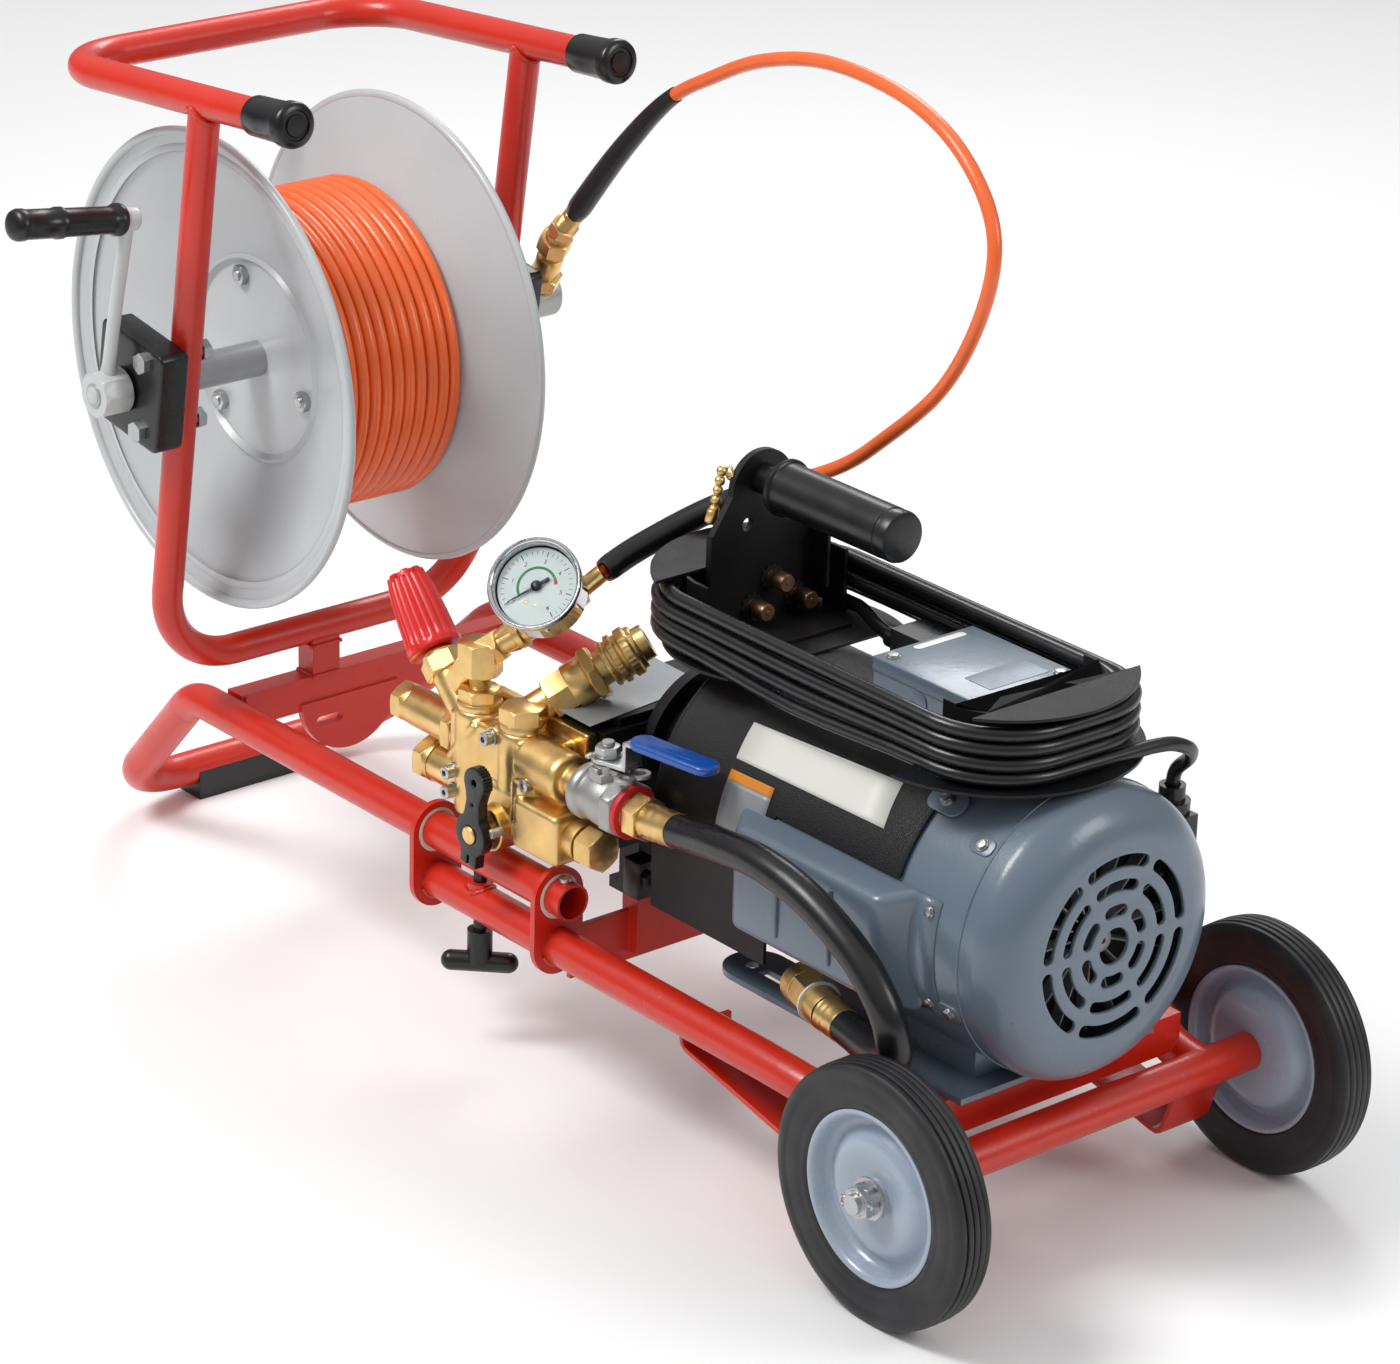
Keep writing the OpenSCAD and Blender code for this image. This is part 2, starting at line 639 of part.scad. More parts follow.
module motor_base() color(steel_grey) difference() {
    union() {
        translate([0, 0, base_top]) linear_extrude(4) {
            translate([(690 + 876) / 2, unit_y]) square([876 - 690, 164], center = true);
            for (s = [-1, 1]) {
                translate([690, unit_y + s * 60]) square([60, 44], center = true);
                translate([660, unit_y + s * 60]) circle(d = 44, $fn = sd);
            }
        }
    }
    for (s = [-1, 1]) {
        z_rod(658, unit_y + s * 62, base_top - 1, base_top + 6, 9);
        slab([668, unit_y + s * 62 - 4, base_top - 1], [700, unit_y + s * 62 + 4, base_top + 5]);
    }
}

module motor_shell() color(steel_grey) {
    difference() {
        union() {
            x_rod(motor_x, vent_x - 37, unit_y, unit_z, 2 * motor_r);
            for (s = [-1, 1])
                slab([720, unit_y + s * 42 - 14, base_top + 4], [860, unit_y + s * 42 + 14, 150]);
        }
        x_rod(motor_x + 4, vent_x - 30, unit_y, unit_z, 2 * (motor_r - 4));
        x_rod(motor_x - 1, motor_x + 6, unit_y, unit_z, shaft_hole);
    }
    difference() {
        x_rod(735, 845, unit_y, unit_z, 2 * (motor_r - 4));
        x_rod(734, 846, unit_y, unit_z, 2 * 60);
    }
}
shaft_hole = 16 + 2 * run_gap;

// vent slots: three rings cut by radial bars
module vent_ring(r0, r1, bars) {
    difference() {
        circle(r1, $fn = 96);
        circle(r0, $fn = 96);
        for (i = [0 : bars - 1]) rotate(360 * i / bars) translate([0, -2.5]) square([r1 + 2, 5]);
    }
}

module motor_bell() color(steel_grey) difference() {
    translate([vent_x, unit_y, unit_z]) rotate([0, 90, 0]) rotate_extrude($fn = 96)
        polygon([[0, 0], [motor_r - 32, 0], [motor_r - 25, -1], [motor_r - 14, -5],
            [motor_r - 6, -11], [motor_r - 1.5, -18], [motor_r, -25], [motor_r, -37],
            [motor_r - 3, -37], [motor_r - 3, -25], [motor_r - 4.5, -19],
            [motor_r - 8.5, -13.5], [motor_r - 16, -8], [motor_r - 26, -4],
            [motor_r - 33, -3], [0, -3]]);
    translate([vent_x - 5, unit_y, unit_z]) rotate([0, 90, 0]) linear_extrude(8) {
        vent_ring(vent_r - 9, vent_r, 12);
        vent_ring(vent_r - 23, vent_r - 14, 10);
        vent_ring(vent_r - 36, vent_r - 28, 6);
    }
}

module motor_rotor() color([0.55, 0.55, 0.57]) {
    x_rod(pump_x0 + 12, vent_x - 12, unit_y, unit_z, 16);
    x_rod(735, 845, unit_y, unit_z, 2 * 59);
    x_rod(866, 869, unit_y, unit_z, 2 * 72);
    for (a = [0 : 45 : 315]) translate([0, unit_y, unit_z]) rotate([a, 0, 0])
        slab([868, -1, 30], [886, 1, 70]);
}

cap_x0 = 672;
cap_x1 = 845;
cap_z0 = 166;
cap_z1 = 250;
cap_y = unit_y - motor_r - 16.5;

module capacitor_cover() color(steel_grey) difference() {
    union() {
        translate([0, 0, cap_z0]) linear_extrude(cap_z1 - cap_z0) polygon([[cap_x0, cap_y + 60],
            [cap_x0, cap_y + 15], [cap_x0 + 18, cap_y + 1.5], [cap_x0 + 23, cap_y],
            [cap_x1 - 25, cap_y], [cap_x1 - 20, cap_y + 1.5], [cap_x1, cap_y + 15],
            [cap_x1, cap_y + 60]]);
        slab([cap_x1 - 2, cap_y + 8, cap_z0 + 8], [cap_x1 + 14, cap_y + 60, cap_z1 - 8]);
    }
    x_rod(motor_x - 60, cap_x1 + 60, unit_y, unit_z, 2 * motor_r);
    slab([cap_x0 - 5, unit_y - saddle_r, 100], [motor_x + 9.5, 0, 300]);
    x_rod(cap_x0 - 5, saddle_x + 0.5, unit_y, unit_z, 2 * saddle_r);
    slab([cap_x1, cap_y + 2, cap_z0], [cap_x1 + 16, unit_y - motor_r + 3, cap_z1]);
}

cover_low = 150;
saddle_low = 250;
module saddle_section(r, low) {
    intersection() {
        union() {
            translate([unit_y, unit_z]) circle(r, $fn = 96);
            translate([unit_y - r, cover_low]) square([2 * r, unit_z - cover_low]);
        }
        translate([unit_y - r, low]) square([2 * r, 300]);
    }
}

module saddle_cover() color(black) {
    inner = saddle_r - cover_t;
    difference() {
        union() {
            across_x(cover_x, motor_x + 9 - cover_x) saddle_section(saddle_r, cover_low);
            across_x(motor_x, saddle_x - motor_x) saddle_section(saddle_r, saddle_low);
        }
        across_x(cover_x + cover_t, saddle_x) saddle_section(inner, cover_low - 1);
        x_rod(cover_x - 1, cover_x + 4, unit_y, unit_z, 96);
    }
}

// cord wrap: rounded rectangle round the saddle, o = outward offset
wrap_x0 = 550;
wrap_x1 = 865;
wrap_half = 60;
wrap_corner = 40;
wrap_z = unit_z + saddle_r;
horn_t = 2;
function wrap_pt(a, o) = let (r = wrap_corner + o, cx = cos(a) > 0.001 || a == 0 ? 1 : -1,
        q = floor(a / 90) % 4, sx = q == 0 || q == 3 ? 1 : -1, sy = q < 2 ? 1 : -1)
    [sx > 0 ? wrap_x1 - wrap_corner + r * cos(a) : wrap_x0 + wrap_corner + r * cos(a),
     unit_y + sy * (wrap_half - wrap_corner) + r * sin(a)];

module wrap_shape(o) {
    translate([(wrap_x0 + wrap_x1) / 2, unit_y])
        round_rect(wrap_x1 - wrap_x0 + 2 * o, 2 * (wrap_half + o), wrap_corner + o);
}
module wrap_wall(x0, x1, z0, z1) {
    translate([0, 0, z0]) linear_extrude(z1 - z0) intersection() {
        difference() {
            wrap_shape(-0.6);
            wrap_shape(-3.2);
        }
        translate([x0, unit_y - 100]) square([x1 - x0, 200]);
    }
}
module horn(cx, r, x0, x1, z) {
    translate([0, 0, z]) linear_extrude(horn_t) intersection() {
        translate([cx, unit_y]) circle(r, $fn = 96);
        translate([x0, unit_y - 100]) square([x1 - x0, 200]);
    }
}

cord_z0 = wrap_z + horn_t + 0.4 + cord_d / 2;
cord_step = cord_d + 0.5;
cord_levels = cord_turns - 2.5;
horn_z = cord_z0 + cord_levels * cord_step + cord_d / 2 + 0.5;

module cord_wrap() color(black) difference() {
    union() {
        horn(805, 92, 812, 900, wrap_z);
        wrap_wall(820, 900, wrap_z, horn_z);
        horn(805, 86, 836, 900, horn_z);
        horn(610, 80, 520, 640, wrap_z);
        wrap_wall(500, 600, wrap_z, horn_z);
        horn(610, 88, 510, plate_x - 0.4, horn_z);
    }
    slab([plate_x - 0.2, -60, wrap_z + horn_t], [plate_x + plate_t + 0.2, 48, horn_z + 9]);
}

plate_x = 575.5;
plate_t = 5;
grip_y = -8;
grip_z = 414;

module handle_plate() color(black) difference() {
    union() {
        across_x(plate_x, plate_t) {
            translate([-50, wrap_z + horn_t]) square([86, 68]);
            translate([grip_y, grip_z - 6]) circle(25, $fn = sd);
            polygon([[-50, wrap_z + 68], [grip_y - 25, grip_z - 8], [grip_y + 25, grip_z - 8],
                [36, wrap_z + 68]]);
        }
        slab([plate_x, -50, wrap_z + horn_t], [plate_x + 45, 36, wrap_z + horn_t + 2.5]);
        slab([plate_x, 33.5, wrap_z + 22], [plate_x + 22, 36, wrap_z + 62]);
    }
    x_rod(plate_x - 1, plate_x + plate_t + 1, -20, 385, 9);
    for (n = nozzle_at) x_rod(plate_x - 1, plate_x + plate_t + 1, n.x, n.y, 8);
}
nozzle_at = [[1, wrap_z + 32.1], [-15, wrap_z + 15.6], [22, wrap_z + 15.6]];

module carry_grip() color([0.14, 0.14, 0.16]) {
    x_rod(plate_x + plate_t, 606, grip_y, grip_z, 20);
    x_rod(601, 713, grip_y, grip_z, 34);
    x_rod(601, 605, grip_y, grip_z, 38);
}

module spray_nozzles() color(brass) for (n = nozzle_at) {
    x_rod(plate_x, plate_x + plate_t + 12, n.x, n.y, 8);
    hex_rod([plate_x + plate_t, n.x, n.y], [plate_x + plate_t + 5, n.x, n.y], 14);
    x_rod(plate_x + plate_t + 8, plate_x + plate_t + 20, n.x, n.y, 12);
}

chain_top = [570, -34, 421];
module nozzle_chain() color(brass) {
    for (i = [0 : 5]) sphere_at(chain_top + [-0.5 * i, -1 * i, -6.4 * i], 7);
    rod(chain_top + [0, 0, 0], chain_top + [-2.5, -5, -32], 3);
    rod(chain_top, [plate_x, chain_top.y + 5, chain_top.z - 3], 4);
}

box_x0 = 726;
box_x1 = 822;
box_y0 = -40;
box_y1 = 42;
box_top = wrap_z + 33;

module switch_box() color(steel_grey) difference() {
    slab([box_x0, box_y0, wrap_z - 20], [box_x1, box_y1, box_top]);
    slab([box_x0 + 2, box_y0 + 2, wrap_z + 4], [box_x1 - 2, box_y1 - 2, box_top + 1]);
    x_rod(box_x0 - 1, saddle_x + 0.01, unit_y, unit_z, 2 * saddle_r);
    x_rod(saddle_x, box_x1 + 1, unit_y, unit_z, 2 * saddle_r);
    slab([810, -100, wrap_z - 1], [900, 100, wrap_z + horn_t]);
}
module switch_lid() color(steel_grey) {
    slab([box_x0 - 1, box_y0 - 1, box_top], [box_x1 + 1, box_y1 + 1, box_top + 2]);
    for (p = [[box_x0 + 8, box_y0 + 10], [box_x1 - 8, box_y1 - 10]])
        z_rod(p.x, p.y, box_top + 2, box_top + 4, 9);
}

// power cord: plug lead, inner column of turns up, outer column down, tail
cord_in = cord_d / 2 + 0.3;
cord_out = cord_in + cord_step;
cord_top = cord_levels * cord_step;
function cord_lift(s) = s < cord_turns - 3.5 ? cord_top * (s - 0.25) / (cord_turns - 3.75)
    : cord_top - (s - cord_turns + 3.5) * cord_step;
function cord_off(s) = cord_in + cord_step * max(0, min(1, (s - cord_turns + 3.5) * 4));
cord_loops = [for (k = [6 : 24 * cord_turns - 1])
    let (s = k / 24, a = 90 * floor((k % 24) / 6) + 17.99 * (k % 6), w = wrap_pt(a, cord_off(s)))
        [w.x, w.y, cord_z0 + cord_lift(s)]];
cord_min = min([for (i = [0 : len(cord_loops) - 1]) for (j = [i + 18 : 1 : len(cord_loops) - 1])
    norm(cord_loops[i] - cord_loops[j])]) - cord_d;
echo(power_cord_gap = cord_min);
plug_z = wrap_z + 11.1;
plug_lead = [[664, 30, plug_z], [645, 36, plug_z - 0.5], [620, 48, plug_z - 2], [604, 54.5, cord_z0 + 0.5]];
cord_tail = [[883, 45, cord_z0 + -0.1], [883, 64, 317], [879, 84, 307], [868, 95, 294], [857.5, 96, 283],
    [855, 96, 272], [855, 96, 258]];

module power_cord() color(black) {
    sweep(concat(plug_lead, cord_loops, route(cord_tail, 2)), cord_d, 6);
}
module power_plug() color(black) {
    x_rod(664.3, 680, 30, plug_z, 14);
    slab([678, 17, plug_z - 13], [706, 43, plug_z + 13]);
    for (y = [24, 36]) slab([705, y - 0.8, plug_z + 2], [724, y + 0.8, plug_z + 8]);
    x_rod(705, 724, 30, plug_z - 7, 5);
}
module cord_gland() color([0.2, 0.2, 0.22]) difference() {
    union() {
        slab([841, 60, 226], [869, 106, 254]);
        z_rod(855, 96, 254, 262, 24);
        z_rod(855, 96, 262, 272, 17);
    }
    x_rod(835, 905, unit_y, unit_z, 2 * motor_r);
    z_rod(855, 96, 257, 280, cord_d + 1.2);
}

// ---------- pump ----------

pump_x0 = 471;
pump_x1 = pump_x0 + crank_len;
crank_z1 = 250;
crank_y0 = -97;
crank_y1 = 45;

module pump_crankcase() color(black) difference() {
    union() {
        slab([pump_x0, crank_y0, 160], [pump_x1, crank_y1, crank_z1 - 6]);
        slab([pump_x0 + 4, crank_y0 + 15, crank_z1 - 7], [pump_x1 - 4, crank_y1 - 5, crank_z1]);
        x_rod(pump_x1 - 1, cover_x, unit_y, unit_z, 94);
        x_rod(pump_x1 - 1, pump_x1 + 8, unit_y, unit_z, 118);
        x_rod(pump_x0 - 5, pump_x0 + 1, unit_y, unit_z, 70);
        for (y = [-62, 14]) {
            slab([510, y, 121], [530, y + 28, 161]);
            slab([500, y, cross_top], [546, y + 28, 122]);
        }
    }
    x_rod(pump_x0 + 10, cover_x + 1, unit_y, unit_z, shaft_hole);
    x_rod(pump_x1 + 16, cover_x + 1, unit_y, unit_z, 76);
    for (y = [-75, 40]) slab([clamp_rear_x - 5.2, y - 0.2, 100], [clamp_rear_x + 11.2, y + 16.2, 150.2]);
}

man_y = -124;
in_y = -128;
in_z = 222;
pulse_x = 482;
pulse_z = 172;
pin_d = 12.6;
module pump_manifold() color(brass) difference() {
    union() {
        slab([422, -138, 172], [518, crank_y0 - 8, 236]);
        slab([428, crank_y0 - 10, 162], [530, crank_y0, 244]);
        for (x = [439, 485]) z_rod(x, man_y, 164, 238, 33);
        x_rod(366, 440, -120, 212, 27);
        x_rod(392, 440, -120, 180, 27);
        x_rod(500, 541, in_y, in_z, 34);
        x_rod(540, 556, in_y, in_z, 20);
        slab([505, -150, 168], [552, -112, 204]);
        rod([389, -118, 254], [428, -121, 222], 24);
        hex_rod([389, -118, 254], [399, -119, 246], 27);
        rod(knob_base - knob_dir * 4, knob_base + knob_dir * 19, 10);
        y_rod(pulse_x, -151, -120, pulse_z, 30);
        y_rod(pulse_x, -156.7, -150, pulse_z, 16);
        y_rod(pulse_x, -167, -155, pulse_z, pin_d);
    }
    x_rod(530, 557, in_y, in_z, 12);
}

module manifold_caps() color(brass) {
    for (x = [439, 485]) {
        z_rod(x, man_y, 238, 243, 30);
        hex_rod([x, man_y, 242], [x, man_y, 252], 25);
    }
    for (p = [[366, 212], [392, 180]]) {
        x_rod(p.x - 4, p.x, -120, p.y, 25);
        hex_rod([p.x - 15, -120, p.y], [p.x - 3, -120, p.y], 23);
    }
    x_rod(552, 564, -132, 186, 26);
    hex_rod([563, -132, 186], [580, -132, 186], 23);
}

module pump_screws() color(zinc) {
    for (p = [[429, 192], [429, 178], [470, 230], [512, 212]]) y_rod(p.x, -147, -138, p.y, 9);
}

knob_dir = unit([-43, 5, 42]);
knob_base = [384.5, -118, 255];
module unloader_knob() color([0.82, 0.1, 0.1]) difference() {
    union() {
        rod(knob_base + knob_dir * 2, knob_base + knob_dir * 58, 33);
        rod(knob_base + knob_dir * 2, knob_base + knob_dir * 12, 38);
        rod(knob_base + knob_dir * 57, knob_base + knob_dir * 60, 24);
    }
    for (a = [0 : 30 : 330]) translate(knob_base)
        rotate([0, acos(knob_dir.z), atan2(knob_dir.y, knob_dir.x)]) rotate([0, 0, a])
            translate([18.4, 0, 14]) cylinder(h = 60, d = 5, $fn = sd);
    rod(knob_base, knob_base + knob_dir * 20, 10 + 2 * run_gap);
}

g_c = [486, -118, gauge_z];
g_n = unit([0.395, -0.671, 0.626]);
module at_gauge() {
    translate(g_c) rotate([0, acos(g_n.z), atan2(g_n.y, g_n.x)]) children();
}
g_stem = g_c - g_n * 14 + unit([-0.6, 0.2, -0.75]) * (gauge_d / 2 - 2);

module outlet_tee() color(brass) {
    z_rod(439, man_y, 252, 262, 14);
    hex_rod([439, man_y, 262], [439, man_y, 284], 26);
    rod([439, man_y, 273], g_stem, 11);
    g_u = unit(g_stem - [439, man_y, 273]);
    hex_rod(g_stem - g_u * 16, g_stem - g_u * 6, 16);
    rod([408, -119, 238], [439, man_y, 278], 17);
    hex_rod([414, -119, 246], [430, -121, 266], 22);
    rod([439, man_y, 273], [470, -100, 300], 14);
    rod([470, -100, 300], [498, -70.3, 338.3], 12);
    sphere_at([470, -100, 300], 15);
    hex_rod([480, -89.4, 313.7], [488, -80.9, 324.6], 19);
}

module gauge_case() color([0.85, 0.85, 0.86]) at_gauge() {
    r = gauge_d / 2;
    rotate_extrude($fn = 96) polygon([[0, -30], [r - 6, -30], [r - 3, -27], [r - 3, -6], [r, -4],
        [r, 0], [r - 3.5, 0], [r - 3.5, -3], [r - 5, -5], [r - 5, -26], [0, -26]]);
}
module gauge_dial() color([0.95, 0.95, 0.93]) at_gauge() difference() {
    translate([0, 0, -9]) cylinder(h = 1.2, r = gauge_d / 2 - 5, $fn = 96);
    translate([0, 0, -10]) cylinder(h = 4, d = 3 + 2 * run_gap, $fn = sd);
}
module gauge_needle() color(black) at_gauge() {
    translate([0, 0, -9.5]) cylinder(h = 4, d = 3, $fn = sd);
    translate([0, 0, -6.9]) cylinder(h = 1.2, d = 7, $fn = sd);
    translate([0, 0, -6.9]) linear_extrude(0.9) rotate(-50)
        polygon([[-8, -1.6], [-8, 1.6], [gauge_d / 2 - 10, 0.4], [gauge_d / 2 - 10, -0.4]]);
}
module gauge_glass() color([0.8, 0.9, 0.95, 0.4]) at_gauge()
    translate([0, 0, -3]) cylinder(h = 1.8, r = gauge_d / 2 - 3.5, $fn = 96);

qc_a = [478, -112, 244];
qc_b = [516.2, -44.7, 291.8];
qc_u = unit(qc_b - qc_a);
module quick_coupler() color(brass) difference() {
    union() {
        rod(qc_a - qc_u * 8, qc_a + qc_u * 16, 22);
        hex_rod(qc_a + qc_u * 14, qc_a + qc_u * 32, 27);
        rod(qc_a + qc_u * 30, qc_a + qc_u * 46, 31);
        hex_rod(qc_a + qc_u * 44, qc_a + qc_u * 52, 34);
        rod(qc_a + qc_u * 51, qc_b - qc_u * 3, 24);
        rod(qc_b - qc_u * 5, qc_b - qc_u * 2, 25.5);
    }
    rod(qc_b - qc_u * 30, qc_b + qc_u * 2, 14);
}
module coupler_sleeve() color(brass) difference() {
    union() {
        rod(qc_b - qc_u * 33, qc_b - qc_u * 9, 32);
        rod(qc_b - qc_u * 31, qc_b - qc_u * 26, 35);
        rod(qc_b - qc_u * 15, qc_b - qc_u * 9.5, 35);
    }
    rod(qc_b - qc_u * 40, qc_b, 24 + 2 * run_gap);
}

module pulse_lever() color(black) translate([pulse_x, -157, pulse_z]) rotate([90, -6, 0])
    difference() {
        union() {
            cylinder(h = 8, d = 30, $fn = sd);
            translate([-7.5, 0, 0]) cube([15, 38, 8]);
            translate([0, 38, 0]) cylinder(h = 8, d = 21, $fn = sd);
            translate([-8, -22, 0]) cube([16, 14, 8]);
        }
        translate([0, 0, -1]) cylinder(h = 12, d = pin_d + 2 * run_gap, $fn = sd);
        translate([0, 38, -1]) cylinder(h = 12, d = 5, $fn = sd);
    }

valve_x = 577;
module ball_valve() color([0.78, 0.77, 0.74]) difference() {
    union() {
        x_rod(556, 598, in_y, in_z, 34);
        x_rod(556, 564, in_y, in_z, 38);
        x_rod(590, 601, in_y, in_z, 36);
        z_rod(valve_x, in_y, in_z, 248, 20);
        z_rod(valve_x, in_y, 248, 262, 9);
        z_rod(valve_x, in_y, 246, 249, 26);
        hex_rod([valve_x, in_y, 253], [valve_x, in_y, 259], 15);
    }
    x_rod(550, 610, in_y, in_z, 16);
}
module valve_lever() color([0.05, 0.3, 0.72]) translate([valve_x, in_y, 249.3]) rotate([0, 0, 8])
    difference() {
        union() {
            cylinder(h = 3, d = 22, $fn = sd);
            translate([0, -8, 0]) cube([22, 16, 3]);
            translate([19, -8, 0]) cube([3, 16, 20]);
            translate([19, -9.5, 17]) cube([63, 19, 6]);
            translate([82, 0, 17]) cylinder(h = 6, d = 19, $fn = sd);
        }
        translate([0, 0, -1]) cylinder(h = 5, d = 9 + 2 * run_gap, $fn = sd);
    }

hose_route = [[620, in_y, in_z], [660, -131, 228], [700, -136, 236], [740, -139, 240],
    [785, -140, 233], [829, -140, 213], [855, -140, 190], [862, -137, 168], [856, -131, 152],
    [832, -121, 142], [800, -112, 140], [770, -106, 140]];
module inlet_hose() color([0.13, 0.13, 0.14]) sweep(route(hose_route, 4), inlet_d, 12);
module inlet_ends() color(brass) {
    x_rod(601, 608, in_y, in_z, 26);
    hex_rod([606, in_y, in_z], [619.7, in_y, in_z], 27);
    rod([769.7, -105.9, 140], [753, -100.2, 140], 25);
    hex_rod([754, -100.5, 140], [735, -94, 140], 24);
    rod([736, -94.3, 140], [724, -90.2, 140], 27);
}

leader_route = [[498.1, -69.7, 338.7], [500, -40, 350], [516, 4, 370], [541, 40, 386], [585, 54, 410],
    [625, 53, 440], [675, 51, 485], [703, 52, 530], [715, 55, 576], [704, 60, 609],
    [671, 65, 638], [625, 72, 654], [569, 80, 659], [508, 88, 655], [446, 95, 639],
    [392, 101, 615], [342, 105, 587], [290, 108, 539], [238.6, 110, 480.7]];
module leader_hose() color(orange) sweep(route(leader_route, 3), leader_d, 8);
module leader_sleeves() color(black) difference() {
    union() {
        sweep(route([for (i = [0 : 3]) leader_route[i]], 3), leader_d + 8, 10);
        sweep(route([for (i = [16 : 18]) leader_route[i]], 3), leader_d + 8, 10);
    }
    sweep(route(leader_route, 3), leader_d + 0.1, 8);
}

// ---------- nodes ----------

drive_frame();
guide_bushes();
axle_rod();
wheel_near();
tyre_near();
wheel_far();
tyre_far();
clamp_screw_near();
clamp_screw_far();
reel_carriage();
foot_pad();
reel_stand();
handle_caps();
reel_bearings();
stand_bolts();
reel_shaft();
reel_hub();
flange_near();
flange_far();
flange_bolts();
wound_hose();
crank_arm();
crank_grip();
swivel_body();
swivel_fitting();
motor_base();
motor_shell();
motor_bell();
motor_rotor();
capacitor_cover();
saddle_cover();
cord_wrap();
handle_plate();
carry_grip();
spray_nozzles();
nozzle_chain();
switch_box();
switch_lid();
power_cord();
power_plug();
cord_gland();
pump_crankcase();
pump_manifold();
manifold_caps();
pump_screws();
unloader_knob();
outlet_tee();
gauge_case();
gauge_dial();
gauge_needle();
gauge_glass();
quick_coupler();
coupler_sleeve();
pulse_lever();
ball_valve();
valve_lever();
inlet_hose();
inlet_ends();
leader_hose();
leader_sleeves();
